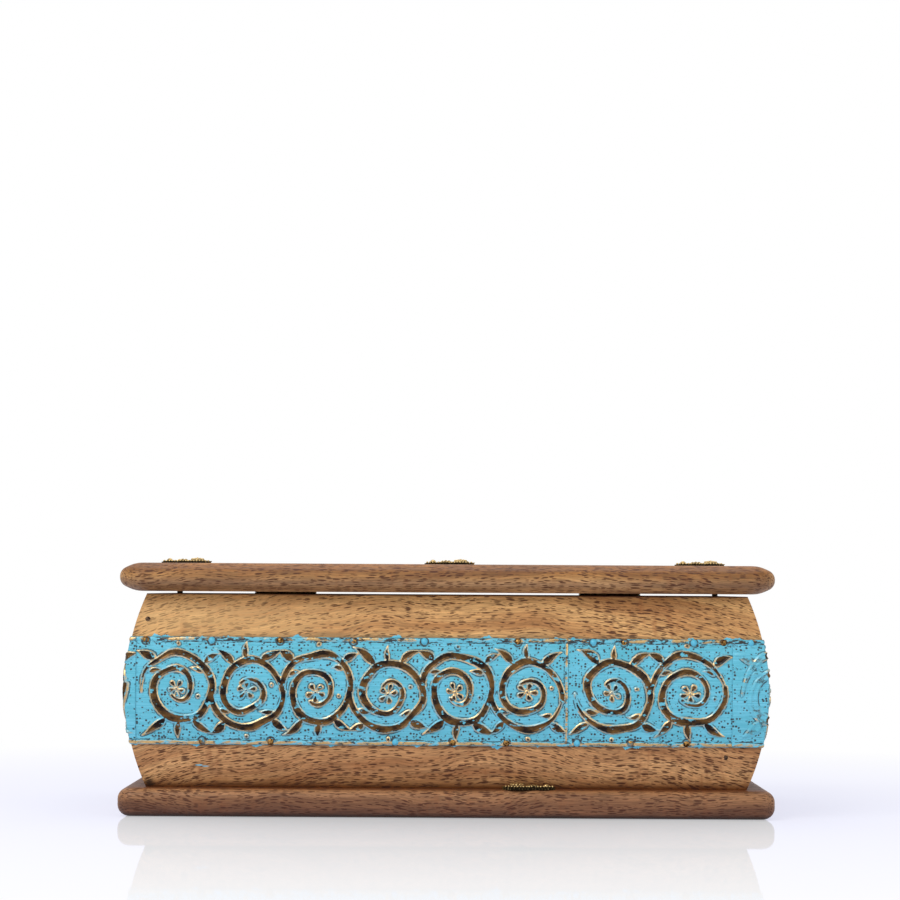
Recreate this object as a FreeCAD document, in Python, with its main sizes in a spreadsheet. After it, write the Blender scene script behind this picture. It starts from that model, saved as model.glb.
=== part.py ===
# Hinged wooden keepsake chest with an embossed brass band round its bulging body.
# Millimetres. The origin is on the floor under the middle of the chest: +X is to the right,
# the front faces -Y and +Z is up.
import FreeCAD, Part
import math
import os
import Sketcher

Vector = FreeCAD.Vector
Rotation = FreeCAD.Rotation
Placement = FreeCAD.Placement

# Driving sizes in millimetres. A share is a fraction of the size that it follows.
SIZES = [
    ("board_length", 254.0, "base board and lid, left to right"),
    ("board_depth", 152.4, "base board and lid, front to back"),
    ("board_thick", 11.0, "thickness of the base board and of the lid"),
    ("edge_round_share", 0.4, "rounding of the base's edges, share of its thickness"),
    ("nose_run_share", 0.55, "slope of the lid's soft edge, inwards, share of the lid's thickness"),
    ("nose_drop_share", 0.26, "slope of the lid's soft edge, downwards, share of the lid's thickness"),
    ("nose_round_share", 0.36, "rounding of the lid's outermost edge, share of the lid's thickness"),
    ("nose_ease_share", 1.1, "rounding between slope and flat, share of the lid's thickness"),
    ("nose_reach_share", 0.8, "reach of the lid's whole soft edge, share of the lid's thickness"),
    ("corner_ease", 1.6, "how much larger a board's corner radius is than its edge rounding's reach"),
    ("ledge", 9.5, "how far both boards stand out past the long panels' foot and rim"),
    ("end_ledge", 10.6, "how far both boards stand out past the end panels' foot and rim"),
    ("body_height", 75.0, "panels, from foot to rim"),
    ("panel_bulge", 7.5, "how far a panel's face swells out at half its height"),
    ("rim_thick", 8.5, "thickness of a panel at its foot and rim"),
    ("band_height", 41.6, "brass band, bottom edge to top edge"),
    ("band_low", 16.8, "band's bottom edge above the foot of the panels"),
    ("sheet_thick", 0.4, "brass sheet"),
    ("seam_offset", 46.9, "butt seam of the two front sheets, right of the middle"),
    ("left_return", 4.0, "how far the left sheet wraps onto the front and the back"),
    ("right_return", 13.8, "how far the right sheet wraps onto the front and the back"),
    ("relief_height", 0.5, "how far the embossed vine stands out of the sheet"),
    ("scroll_radius", 14.2, "vine's scroll, middle of its outer turn"),
    ("stroke_width", 3.2, "vine's stem"),
    ("flower_radius", 3.2, "flower in the middle of a scroll"),
    ("vine_margin", 2.5, "end of the vine in from the end of its sheet"),
    ("punch_reach", 4.0, "how far the shape of a scroll reaches into and out of the sheet"),
    ("tack_head", 1.25, "radius of a band tack's head"),
    ("tack_dome", 0.7, "height of a band tack's head"),
    ("tack_shank", 0.5, "radius of a band tack's shank"),
    ("tack_length", 7.0, "band tack's shank below its head"),
    ("tack_inset", 1.3, "tack's centre in from the band's edge"),
    ("brad_head", 0.95, "radius of a corner brad's head"),
    ("brad_head_thick", 0.6, "thickness of a corner brad's head"),
    ("brad_proud", 0.15, "how far a brad's head stands proud of the wood"),
    ("brad_shank", 0.6, "radius of a corner brad's shank"),
    ("brad_length", 20.0, "corner brad's shank below its head"),
    ("hinge_spacing", 139.0, "between the middles of the two hinges"),
    ("hinge_width", 26.0, "length of a hinge's barrel and leaves"),
    ("leaf_thick", 0.4, "thickness of a hinge leaf"),
    ("leaf_play", 0.1, "gap between the closed leaves"),
    ("leaf_inset", 1.5, "leaf's front edge back from the panel's inner face"),
    ("barrel_radius", 1.7, "outside of a hinge barrel"),
    ("barrel_gap", 0.2, "barrel behind the rim's back edge"),
    ("knuckle_play", 0.16, "gap between neighbouring knuckles"),
    ("pin_radius", 0.8, "hinge pin"),
    ("pin_play", 0.05, "running clearance between pin and knuckle"),
    ("groove_play", 0.3, "lid's groove clear of the barrel"),
    ("hinge_screw_head", 1.5, "radius of a hinge screw's head"),
    ("hinge_screw_shank", 0.8, "radius of a hinge screw's shank"),
    ("hinge_screw_length", 6.0, "hinge screw with its head"),
    ("base_screw_head", 3.4, "radius of a base screw's head"),
    ("base_screw_shank", 1.7, "radius of a base screw's shank"),
    ("base_screw_length", 28.0, "base screw with its head"),
    ("base_screw_recess", 0.4, "how deep a base screw's head lies in the board"),
    ("stop_spacing", 208.0, "between the two lid stops"),
    ("stop_radius", 1.1, "felt lid stop"),
    ("ornament_length", 20.5, "filigree ornament, tip to tip"),
    ("ornament_width", 8.0, "filigree ornament, across its broad end"),
    ("ornament_height", 2.9, "filigree ornament, over its tallest dome"),
    ("ornament_plate", 1.0, "thickness of a filigree ornament's back plate"),
    ("foot_ornament_offset", 32.0, "ornament on the base's ledge, right of the middle"),
    ("foot_ornament_gap", 0.8, "ornament on the ledge, clear of the front panel's foot"),
    ("ornament_pin_head", 0.7, "radius of an ornament pin's head"),
    ("ornament_pin_cap", 0.3, "thickness of an ornament pin's head"),
    ("ornament_pin_shank", 0.4, "radius of an ornament pin's shank"),
    ("ornament_pin_length", 5.0, "ornament pin's shank below its head"),
    ("overrun", 5.0, "how far cutting shapes reach past what they cut"),
]

# Scrolls of the vine along each sheet, and whether the first one hangs instead of standing.
SCROLLS = {
    "band_front_left": (6, False),
    "band_front_right": (2, True),
    "band_back": (8, False),
    "band_left": (6, False),
    "band_right": (6, False),
}
# A scroll winds in by half turns. These are its crossings of the middle line, as shares of its radius.
SPIRAL_SHARES = [-1.0, 1.0, -0.68, 0.43]

# Band tacks along a side, as shares of half the rim's length there.
FRONT_TOP_TACK_SHARES = [-0.998, -0.78, -0.553, -0.31, -0.075, 0.235, 0.485, 0.587, 0.818, 0.917]
FRONT_LOW_TACK_SHARES = [-0.81, -0.583, -0.17, 0.02, 0.198, 0.432, 0.61, 0.795]
WRAP_TACK_SHARES = [1.007]
BACK_TACK_SHARES = [-0.8, -0.6, -0.4, -0.2, 0.0, 0.2, 0.4, 0.6, 0.8]
END_TACK_SHARES = [-0.85, -0.43, 0.0, 0.43, 0.85]

# Corner brads along half the rim's length and up the panel, and how far their points lean outwards.
BRAD_SHARES = [(-0.994, 0.868), (0.927, 0.171)]
BRAD_LEANS_DEGREES = [0, 15]

# Base screws along half the rim's length.
BASE_SCREW_SHARES = [-0.8, 0.0, 0.8]

# The left, centre and right ornaments along half the lid's length.
ORNAMENT_SHARES = [-0.842, 0.005, 0.81]

# An ornament's narrow end, as a share of its width, and its domes: place along its length, width as a
# share of the ornament's and height as a share of what stands above the plate.
TIP_SHARE = 0.56
DOME_SHARES = [(0.27, 0.86, 1.0), (-0.06, 0.56, 0.62), (-0.36, 0.44, 0.85)]
ORNAMENT_PIN_SHARES = [-0.22, 0.48]

KNUCKLES = 5
SCREWS_PER_LEAF = 2
QUARTER_TURN_DEGREES = 90
SAME_PLACE = 1e-5

document = FreeCAD.newDocument("Chest")
sheet = document.addObject("Spreadsheet::Sheet", "Sizes")


class Size:
    """A number together with the sheet formula that gives it."""

    def __init__(self, text, value):
        self.text = text
        self.value = value

    def __add__(self, other):
        other = as_size(other)
        return Size(f"({self.text} + {other.text})", self.value + other.value)

    def __sub__(self, other):
        other = as_size(other)
        return Size(f"({self.text} - {other.text})", self.value - other.value)

    def __mul__(self, other):
        other = as_size(other)
        return Size(f"({self.text} * {other.text})", self.value * other.value)

    def __truediv__(self, other):
        other = as_size(other)
        return Size(f"({self.text} / {other.text})", self.value / other.value)

    def __radd__(self, other):
        return as_size(other) + self

    def __rmul__(self, other):
        return as_size(other) * self

    def __neg__(self):
        return Size(f"(-{self.text})", -self.value)

    def __float__(self):
        return self.value


def as_size(item):
    return item if isinstance(item, Size) else Size(str(item), float(item))


def root(item):
    return Size(f"sqrt({item.text})", math.sqrt(item.value))


class Sheet:
    """Each size of the sheet under its own name."""


s = Sheet()
for row, (alias, number, meaning) in enumerate(SIZES, start=1):
    sheet.set(f"A{row}", alias)
    sheet.set(f"B{row}", str(number))
    sheet.set(f"C{row}", meaning)
    sheet.setAlias(f"B{row}", alias)
    setattr(s, alias, Size(f"Sizes.{alias}", number))
document.recompute()

# Sizes and places that follow from the sheet.
edge_round = s.board_thick * s.edge_round_share
nose_run = s.board_thick * s.nose_run_share
nose_drop = s.board_thick * s.nose_drop_share
nose_reach = s.board_thick * s.nose_reach_share
rim_length = s.board_length - 2 * s.end_ledge
rim_depth = s.board_depth - 2 * s.ledge
foot = s.board_thick
middle = foot + s.body_height / 2
rim = foot + s.body_height
lid_floor = rim + 2 * s.leaf_thick + s.leaf_play
face_radius = (s.body_height * s.body_height / 4 + s.panel_bulge * s.panel_bulge) / (2 * s.panel_bulge)
band_floor = foot + s.band_low
tack_low = band_floor + s.tack_inset
tack_top = band_floor + s.band_height - s.tack_inset
leaf_reach = s.rim_thick - s.leaf_inset
barrel_y = rim_depth / 2 + s.barrel_gap + s.barrel_radius
barrel_z = rim + s.leaf_thick + s.leaf_play / 2
knuckle = s.hinge_width / KNUCKLES

# Each side's length at the rim and the body's depth square to it, anticlockwise from the front.
SIDES = {
    "front": (rim_length, rim_depth),
    "right": (rim_depth, rim_length),
    "back": (rim_length, rim_depth),
    "left": (rim_depth, rim_length),
}

UPRIGHT = Vector(0, 0, 1)
ALONG_X = Rotation(Vector(0, 1, 0), QUARTER_TURN_DEGREES)
TO_FRONT = Rotation(Vector(1, 0, 0), QUARTER_TURN_DEGREES)
OVER = Rotation(Vector(1, 0, 0), 2 * QUARTER_TURN_DEGREES)


def bind(item, **sizes):
    """Drive an object's properties by sizes."""
    for name, value in sizes.items():
        item.setExpression(name, as_size(value).text)
    return item


def place(item, x=0, y=0, z=0):
    """Drive where an object's own origin lies."""
    for axis, value in (("x", x), ("y", y), ("z", z)):
        item.setExpression(f"Placement.Base.{axis}", as_size(value).text)
    return item


def spot(x, y, z, turn=Rotation()):
    """A placement at three sizes."""
    return Placement(Vector(float(x), float(y), float(z)), turn)


def turned(side):
    """The placement that takes what was made for the front round to another side."""
    return Placement(Vector(), Rotation(UPRIGHT, list(SIDES).index(side) * QUARTER_TURN_DEGREES))


def block(name, low, high):
    """A block between its lowest and its highest corner."""
    item = document.addObject("Part::Box", name)
    length, width, height = (as_size(b) - a for a, b in zip(low, high))
    bind(item, Length=length, Width=width, Height=height)
    return place(item, *low)


def rod(name, radius, length, base, turn=Rotation()):
    """A round rod from the middle of its first end, upright or turned."""
    item = document.addObject("Part::Cylinder", name)
    item.Placement = Placement(Vector(), turn)
    bind(item, Radius=radius, Height=length)
    return place(item, *base)


def fuse(name, items):
    item = document.addObject("Part::MultiFuse", name)
    item.Shapes = items
    return item


def common(name, base, *tools):
    """What the base shares with every tool."""
    for tool in tools:
        item = document.addObject("Part::Common", name)
        item.Base, item.Tool = base, tool
        base = item
    return base


def cut(name, base, *tools):
    """The base with every tool taken out of it."""
    for tool in tools:
        item = document.addObject("Part::Cut", name)
        item.Base, item.Tool = base, tool
        base = item
    return base


def copies(name, master, spots):
    """Separate copies of a master piece, one at each placement."""
    document.recompute()
    item = document.addObject("Part::Feature", name)
    item.Shape = Part.makeCompound([master.Shape.transformed(place.toMatrix(), True) for place in spots])
    return item


def fix(sketch, kind, point, value):
    """Hold one coordinate of a sketch's point at a size."""
    index = sketch.addConstraint(Sketcher.Constraint(kind, *point, float(value)))
    sketch.setExpression(f"Constraints[{index}]", value.text)


def outline(body, plane, corners, arcs={}):
    """A closed sketch through corners driven by sizes, anticlockwise.

    An arc takes the place of the line after its corner. It is given by the X of its crest and of its
    centre, half way up between its two ends.
    """
    sketch = body.newObject("Sketcher::SketchObject", body.Name + "_outline")
    origin = {feature.Role: feature for feature in body.Origin.OriginFeatures}
    sketch.AttachmentSupport = [(origin[plane], "")]
    sketch.MapMode = "FlatFace"
    points = [Vector(float(x), float(y), 0) for x, y in corners]
    count = len(points)
    for i, point in enumerate(points):
        after = points[(i + 1) % count]
        if i in arcs:
            crest = Vector(float(arcs[i][0]), (point.y + after.y) / 2, 0)
            sketch.addGeometry(Part.Arc(point, crest, after), False)
        else:
            sketch.addGeometry(Part.LineSegment(point, after), False)
    for i, (x, y) in enumerate(corners):
        sketch.addConstraint(Sketcher.Constraint("Coincident", i, 2, (i + 1) % count, 1))
        fix(sketch, "DistanceX", (i, 1), x)
        fix(sketch, "DistanceY", (i, 1), y)
    for i, (crest, centre) in arcs.items():
        fix(sketch, "DistanceX", (i, 3), centre)
    return sketch


def edges(feature, wanted):
    """Names of a feature's edges that pass a test."""
    return [f"Edge{i}" for i, edge in enumerate(feature.Shape.Edges, start=1) if wanted(edge)]


def is_upright(edge):
    rise = edge.Vertexes[-1].Point - edge.Vertexes[0].Point
    return abs(rise.z) > abs(rise.x) + abs(rise.y)


def lies_at(edge, level):
    return all(math.isclose(vertex.Z, float(level), abs_tol=SAME_PLACE) for vertex in edge.Vertexes)


# Boards

def blank(name, reach):
    """A board's body with square edges, and its rounded corners. Its edge rounding will reach in so far."""
    body = document.addObject("PartDesign::Body", name)
    x, y = s.board_length / 2, s.board_depth / 2
    pad = body.newObject("PartDesign::Pad", name + "_pad")
    pad.Profile = outline(body, "XY_Plane", [(-x, -y), (x, -y), (x, y), (-x, y)])
    bind(pad, Length=s.board_thick)
    document.recompute()
    corners = body.newObject("PartDesign::Fillet", name + "_corners")
    corners.Base = (pad, edges(pad, is_upright))
    bind(corners, Radius=reach + s.corner_ease)
    document.recompute()
    return body, corners


def rounded(body, name, base, levels, radius):
    """A rounding of those edges of the last feature that lie flat at one of some heights."""
    rounding = body.newObject("PartDesign::Fillet", name)
    rounding.Base = (base, edges(base, lambda edge: any(lies_at(edge, level) for level in levels)))
    bind(rounding, Radius=radius)
    document.recompute()
    return rounding


def base():
    """The base board, with a plain round edge."""
    body, last = blank("base", edge_round)
    rounded(body, "base_rounding", last, (0, s.board_thick), edge_round)
    return body


def lid():
    """The lid, whose edge is a long soft nose above and below."""
    body, last = blank("lid", nose_reach)
    for level in (0, s.board_thick):
        slope = body.newObject("PartDesign::Chamfer", "lid_slope")
        slope.Base = (last, edges(last, lambda edge: lies_at(edge, level)))
        slope.ChamferType = "Two distances"
        bind(slope, Size=nose_run, Size2=nose_drop)
        document.recompute()
        ends = [vertex.X for edge in slope.Shape.Edges if lies_at(edge, level) for vertex in edge.Vertexes]
        if not math.isclose(max(ends), float(s.board_length / 2 - nose_run), abs_tol=SAME_PLACE):
            slope.FlipDirection = True
            document.recompute()
        last = slope
    last = rounded(body, "lid_ease", last, (0, s.board_thick), s.board_thick * s.nose_ease_share)
    levels = (nose_drop, s.board_thick - nose_drop)
    rounded(body, "lid_nose", last, levels, s.board_thick * s.nose_round_share)
    return place(body, z=lid_floor)


# Panels

def panel(side):
    """A moulding with a swelling outer face, mitred at both ends."""
    run, depth = SIDES[side]
    body = document.addObject("PartDesign::Body", side + "_moulding")
    face, inner = -depth / 2, s.rim_thick - depth / 2
    corners = [(face, foot), (inner, foot), (inner, rim), (face, rim)]
    swell = (face - s.panel_bulge, face - s.panel_bulge + face_radius)
    profile = outline(body, "YZ_Plane", corners, {3: swell})
    moulding = body.newObject("PartDesign::Pad", side + "_run")
    moulding.Profile = profile
    moulding.SideType = "Symmetric"
    bind(moulding, Length=run + 2 * s.panel_bulge + 2 * s.overrun)
    document.recompute()
    for end in (1, -1):
        volume = body.Shape.Volume
        tip = s.panel_bulge + s.overrun
        heel = s.rim_thick + s.overrun
        beyond = run / 2 + tip + s.overrun
        mitre = body.newObject("PartDesign::Pocket", side + "_mitre")
        mitre.Profile = outline(body, "XY_Plane", [
            (end * (run / 2 + tip), face - tip), (end * beyond, face - tip),
            (end * beyond, face + heel), (end * (run / 2 - heel), face + heel)])
        mitre.Type = "ThroughAll"
        mitre.Reversed = True
        document.recompute()
        if not body.Shape.Volume < volume:
            raise ValueError(f"the mitre of the {side} panel cuts nothing")
    body.Placement = turned(side)
    return body


# Brass band

def face_centre(depth):
    """How far the centre of a face's arc lies behind the middle of the body, seen from that face."""
    return face_radius - s.panel_bulge - depth / 2


def form(name, plane, depth, run, lift):
    """A prism of the body's section, its two swelling faces raised off the wood."""
    body = document.addObject("PartDesign::Body", name)
    radius = face_radius + lift
    centre = face_centre(depth)
    end = centre - root(radius * radius - s.body_height * s.body_height / 4)
    corners = [(end, foot), (-end, foot), (-end, rim), (end, rim)]
    swells = {1: (radius - centre, -centre), 3: (centre - radius, centre)}
    pad = body.newObject("PartDesign::Pad", name + "_run")
    pad.Profile = outline(body, plane, corners, swells)
    pad.SideType = "Symmetric"
    bind(pad, Length=run + 2 * s.panel_bulge + 2 * s.overrun)
    return body


def pillow(name, long_lift, end_lift):
    """The swelling body, raised by one amount on its long sides and by another on its ends."""
    return common(name, form(name + "_long", "YZ_Plane", rim_depth, rim_length, long_lift),
                  form(name + "_ends", "XZ_Plane", rim_length, rim_depth, end_lift))


def half_turn(name, left, right, up):
    """Half of a round stroke between two places on the vine's middle line, above or below it."""
    middle, radius, reach = (left + right) / 2, (right - left) / 2, s.punch_reach
    outer, inner = [rod(f"{name}_{side}", radius + side * s.stroke_width / 2, 2 * reach,
                        (middle, reach, 0), TO_FRONT) for side in (1, -1)]
    past = s.scroll_radius + s.stroke_width
    half = block(name + "_half", (-past, -reach, 0 if up else -past), (past, reach, past if up else 0))
    return common(name, cut(name + "_ring", outer, inner), half)


def scroll():
    """One scroll of the vine, cut right through, with its flower in the middle."""
    stops = [share * s.scroll_radius for share in SPIRAL_SHARES]
    turns = [half_turn(f"turn_{i}", *sorted(pair, key=float), up=i % 2 == 0)
             for i, pair in enumerate(zip(stops, stops[1:]))]
    flower = rod("flower", s.flower_radius, 2 * s.punch_reach, (0, s.punch_reach, 0), TO_FRONT)
    return fuse("scroll", [*turns, flower])


def scroll_spot(side, along, hangs):
    """Where one scroll sits on a side of the body, standing or hanging."""
    face = -(SIDES[side][1] / 2 + s.panel_bulge)
    return turned(side).multiply(spot(along, face, band_floor + s.band_height / 2,
                                      OVER if hangs else Rotation()))


def embossed(name, master, sheet, raised, rows):
    """A sheet's form with two rows of scrolls raised on it, as neighbouring scrolls touch."""
    scrolls = [common(f"{name}_raised", raised, copies(f"{name}_scrolls", master, row)) for row in rows]
    return fuse(name + "_form", [sheet, *scrolls])


def band():
    """The five embossed sheets of the band. The wrapping end sheets lap over the front and back ones."""
    one, two = s.sheet_thick, 2 * s.sheet_thick
    wood = pillow("wood_form", 0, 0)
    long_form = pillow("long_form", one, 0)
    wrap_form = pillow("wrap_form", two, one)
    long_raised = pillow("long_raised", one + s.relief_height, 0)
    wrap_raised = pillow("wrap_raised", two + s.relief_height, one + s.relief_height)
    corner_x, corner_y = rim_length / 2 + s.panel_bulge, rim_depth / 2 + s.panel_bulge
    far_x, far_y = corner_x + s.overrun, corner_y + s.overrun
    low, high = band_floor, band_floor + s.band_height
    left_lap, right_lap = corner_x - s.left_return, corner_x - s.right_return
    left_run, right_run = corner_y + s.left_return, corner_y + s.right_return
    plans = {
        "band_front_left": (-left_lap, s.seam_offset, (-far_x, -far_y, low), (s.seam_offset, 0, high)),
        "band_front_right": (s.seam_offset, right_lap, (s.seam_offset, -far_y, low), (far_x, 0, high)),
        "band_back": (-right_lap, left_lap, (-far_x, 0, low), (far_x, far_y, high)),
        "band_left": (-left_run, left_run, (-far_x, -far_y, low), (-left_lap, far_y, high)),
        "band_right": (-right_run, right_run, (right_lap, -far_y, low), (far_x, far_y, high)),
    }
    master = scroll()
    sheets = {}
    for name, (start, end, lowest, highest) in plans.items():
        side = name.split("_")[1]
        wraps = side in ("left", "right")
        outside, raised, inside = ((wrap_form, wrap_raised, long_form) if wraps
                                   else (long_form, long_raised, wood))
        count, first_hangs = SCROLLS[name]
        pitch = (end - start - 2 * s.vine_margin) / count
        places = [start + s.vine_margin + pitch * (i + 1 / 2) for i in range(count)]
        hangs = [(i % 2 == 1) != first_hangs for i in range(count)]
        spots = [scroll_spot(side, place, hung) for place, hung in zip(places, hangs)]
        rows = [spots[::2], spots[1::2]]
        if wraps:
            # The first and the last scroll run on round the corners, onto the front and the back.
            around = list(SIDES)
            at = around.index(side)
            before, after = around[at - 1], around[(at + 1) % len(around)]
            past = corner_x + corner_y + places[0]
            rows[1].append(scroll_spot(before, past, hangs[0]))
            rows[0].append(scroll_spot(after, -past, hangs[-1]))
        shape = embossed(name, master, outside, raised, rows)
        sheets[name] = common(name + "_sheet", cut(name + "_skin", shape, inside),
                              block(name + "_trim", lowest, highest))
    return sheets


# Fasteners. A master stands upright, with the underside of its head, or a screw's flat top, at zero.

def cap(name, radius, height, x, z):
    """A dome: the slice of a ball that stands on a circle of this radius."""
    ball = (radius * radius + height * height) / (2 * height)
    sphere = bind(document.addObject("Part::Sphere", name + "_ball"), Radius=ball)
    place(sphere, x, 0, z + height - ball)
    return common(name, sphere, rod(name + "_disc", radius, height, (x, 0, z)))


def tack():
    """A domed brass tack for the band."""
    return fuse("tack", [cap("tack_dome", s.tack_head, s.tack_dome, 0, 0),
                         rod("tack_stem", s.tack_shank, s.tack_length, (0, 0, -s.tack_length))])


def nail(name, head, head_thick, shank, length):
    """A flat-headed pin."""
    return fuse(name, [rod(name + "_head", head, head_thick, (0, 0, 0)),
                       rod(name + "_stem", shank, length, (0, 0, -length))])


def screw(name, head, shank, length):
    """A countersunk wood screw."""
    cone = document.addObject("Part::Cone", name + "_head")
    bind(cone, Radius1=shank, Radius2=head, Height=head - shank)
    place(cone, z=shank - head)
    return fuse(name, [cone, rod(name + "_stem", shank, length, (0, 0, -length))])


def on_face(side, share, height, lift, lean=0):
    """The placement of a fastener driven square into a side's swelling face."""
    run, depth = SIDES[side]
    tilt = math.asin(float(height - middle) / float(face_radius))
    reach = float(face_radius + lift)
    x = float(share * run / 2)
    y = float(face_centre(depth)) - reach * math.cos(tilt)
    z = float(middle) + reach * math.sin(tilt)
    outwards = Rotation(Vector(1, 0, 0), QUARTER_TURN_DEGREES - math.degrees(tilt))
    aim = Rotation(UPRIGHT, -lean).multiply(outwards)
    return turned(side).multiply(spot(x, y, z, aim))


def band_tacks():
    """The tacks of each side, in two rows."""
    master = tack()
    rows = {
        "front": (FRONT_TOP_TACK_SHARES, FRONT_LOW_TACK_SHARES),
        "back": (BACK_TACK_SHARES, BACK_TACK_SHARES),
        "left": (END_TACK_SHARES, END_TACK_SHARES),
        "right": (END_TACK_SHARES, END_TACK_SHARES),
    }
    groups = {}
    for side, (top, low) in rows.items():
        spots = [on_face(side, share, tack_top, s.sheet_thick) for share in top]
        spots += [on_face(side, share, tack_low, s.sheet_thick) for share in low]
        if side == "front":
            spots += [on_face(side, share, tack_top, 2 * s.sheet_thick) for share in WRAP_TACK_SHARES]
        groups[side] = copies(f"band_{side}_tacks", master, spots)
    return groups


def corner_brads():
    master = nail("brad", s.brad_head, s.brad_head_thick, s.brad_shank, s.brad_length)
    lift = s.brad_proud - s.brad_head_thick
    return copies("corner_brads", master, [
        on_face(side, along, foot + up * s.body_height, lift, lean)
        for side in ("front", "back") for (along, up), lean in zip(BRAD_SHARES, BRAD_LEANS_DEGREES)])


def base_screws():
    """The screws up through the base into the long panels, and the holes that they need."""
    master = screw("base_screw", s.base_screw_head, s.base_screw_shank, s.base_screw_length)
    mouth = rod("base_screw_mouth", s.base_screw_head, s.base_screw_recess + s.overrun, (0, 0, 0))
    hole = fuse("base_screw_hole", [master, mouth])
    row = rim_depth / 2 - s.rim_thick / 2
    spots = [spot(share * rim_length / 2, side * row, s.base_screw_recess, OVER)
             for side in (-1, 1) for share in BASE_SCREW_SHARES]
    return copies("base_screws", master, spots), copies("base_screw_holes", hole, spots)


# Hinges

def hinge(name, x, screws):
    """A butt hinge of two leaves on one pin, folded between rim and lid."""
    start, end = x - s.hinge_width / 2, x + s.hinge_width / 2
    leaf_front = rim_depth / 2 - leaf_reach
    bore = rod(name + "_bore", s.pin_radius + s.pin_play, s.hinge_width + 2 * s.overrun,
               (start - s.overrun, barrel_y, barrel_z), ALONG_X)
    levels = {"rim_leaf": (rim, 0), "lid_leaf": (lid_floor - s.leaf_thick, 1)}
    leaves = {}
    for leaf, (low, first) in levels.items():
        high = low + s.leaf_thick
        part = f"{name}_{leaf}"
        pieces = [block(part + "_plate", (start, leaf_front, low), (end, rim_depth / 2, high))]
        for i in range(first, KNUCKLES, 2):
            left = start + i * knuckle + s.knuckle_play / 2
            width = knuckle - s.knuckle_play
            pieces.append(block(f"{part}_finger", (left, rim_depth / 2 - leaf_reach / 2, low),
                                (left + width, barrel_y, high)))
            pieces.append(rod(f"{part}_knuckle", s.barrel_radius, width, (left, barrel_y, barrel_z), ALONG_X))
        leaves[part] = cut(part + "_drilled", fuse(part + "_blank", pieces), bore, screws[leaf])
    pin = rod(name + "_rod", s.pin_radius, s.hinge_width, (start, barrel_y, barrel_z), ALONG_X)
    return {**leaves, name + "_pin": pin}


def hinge_screws():
    """The screws of both hinges: those that go down into the rim and those that go up into the lid."""
    master = screw("hinge_screw", s.hinge_screw_head, s.hinge_screw_shank, s.hinge_screw_length)
    y = rim_depth / 2 - leaf_reach / 2
    spread = [(2 * i + 1 - SCREWS_PER_LEAF) / (2 * SCREWS_PER_LEAF) for i in range(SCREWS_PER_LEAF)]
    xs = [side * s.hinge_spacing / 2 + share * s.hinge_width for side in (-1, 1) for share in spread]
    rim_spots = [spot(x, y, rim + s.leaf_thick) for x in xs]
    lid_spots = [spot(x, y, lid_floor - s.leaf_thick, OVER) for x in xs]
    return {"rim_leaf": copies("hinge_rim_screws", master, rim_spots),
            "lid_leaf": copies("hinge_lid_screws", master, lid_spots)}


def barrel_groove(side):
    """The round groove in the lid's underside that clears a hinge's barrel."""
    length = s.hinge_width + 2 * s.groove_play
    start = side * s.hinge_spacing / 2 - length / 2
    return rod("barrel_groove", s.barrel_radius + s.groove_play, length, (start, barrel_y, barrel_z), ALONG_X)


# Ornaments

def ornament():
    """One cast ornament: a tapering back plate with a large, a middle and a small dome on it."""
    plate = document.addObject("PartDesign::Body", "ornament_plate")
    half, broad, narrow = s.ornament_length / 2, s.ornament_width / 2, TIP_SHARE * s.ornament_width / 2
    right, left = half - broad, narrow - half
    pad = plate.newObject("PartDesign::Pad", "ornament_casting")
    corners = [(left, -narrow), (right, -broad), (right, broad), (left, narrow)]
    pad.Profile = outline(plate, "XY_Plane", corners, {1: (half, right), 3: (-half, left)})
    bind(pad, Length=s.ornament_plate)
    relief = s.ornament_height - s.ornament_plate
    domes = [cap("ornament_dome", width * broad, height * relief, along * s.ornament_length, s.ornament_plate)
             for along, width, height in DOME_SHARES]
    return fuse("ornament", [plate, *domes])


def ornament_pins(spots):
    """Placements of the pins of the ornaments at these spots."""
    return [place.multiply(spot(share * s.ornament_length, 0, s.ornament_plate)) for place in spots
            for share in ORNAMENT_PIN_SHARES]


# The chest

nodes = {}

stop_height = lid_floor - rim
stop = rod("stop", s.stop_radius, stop_height, (0, 0, rim))
stops = copies("stops", stop, [
    spot(side * s.stop_spacing / 2, s.rim_thick / 2 - rim_depth / 2, 0) for side in (-1, 1)])

tacks = band_tacks()
brads = corner_brads()
screws = hinge_screws()
base_fixings, base_holes = base_screws()

sheets = band()
panels = {side: panel(side) for side in SIDES}

lid_top = lid_floor + s.board_thick
lid_spots = [spot(share * s.board_length / 2, 0, lid_top) for share in ORNAMENT_SHARES]
ledge_y = -(rim_depth / 2 + s.foot_ornament_gap + s.ornament_width / 2)
ledge_spot = spot(s.foot_ornament_offset, ledge_y, foot, Rotation(UPRIGHT, 180))
master_ornament = ornament()
master_pin = nail("ornament_pin", s.ornament_pin_head, s.ornament_pin_cap, s.ornament_pin_shank,
                  s.ornament_pin_length)
lid_pins = copies("lid_pins", master_pin, ornament_pins(lid_spots))
ledge_pins = copies("ledge_pins", master_pin, ornament_pins([ledge_spot]))

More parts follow.
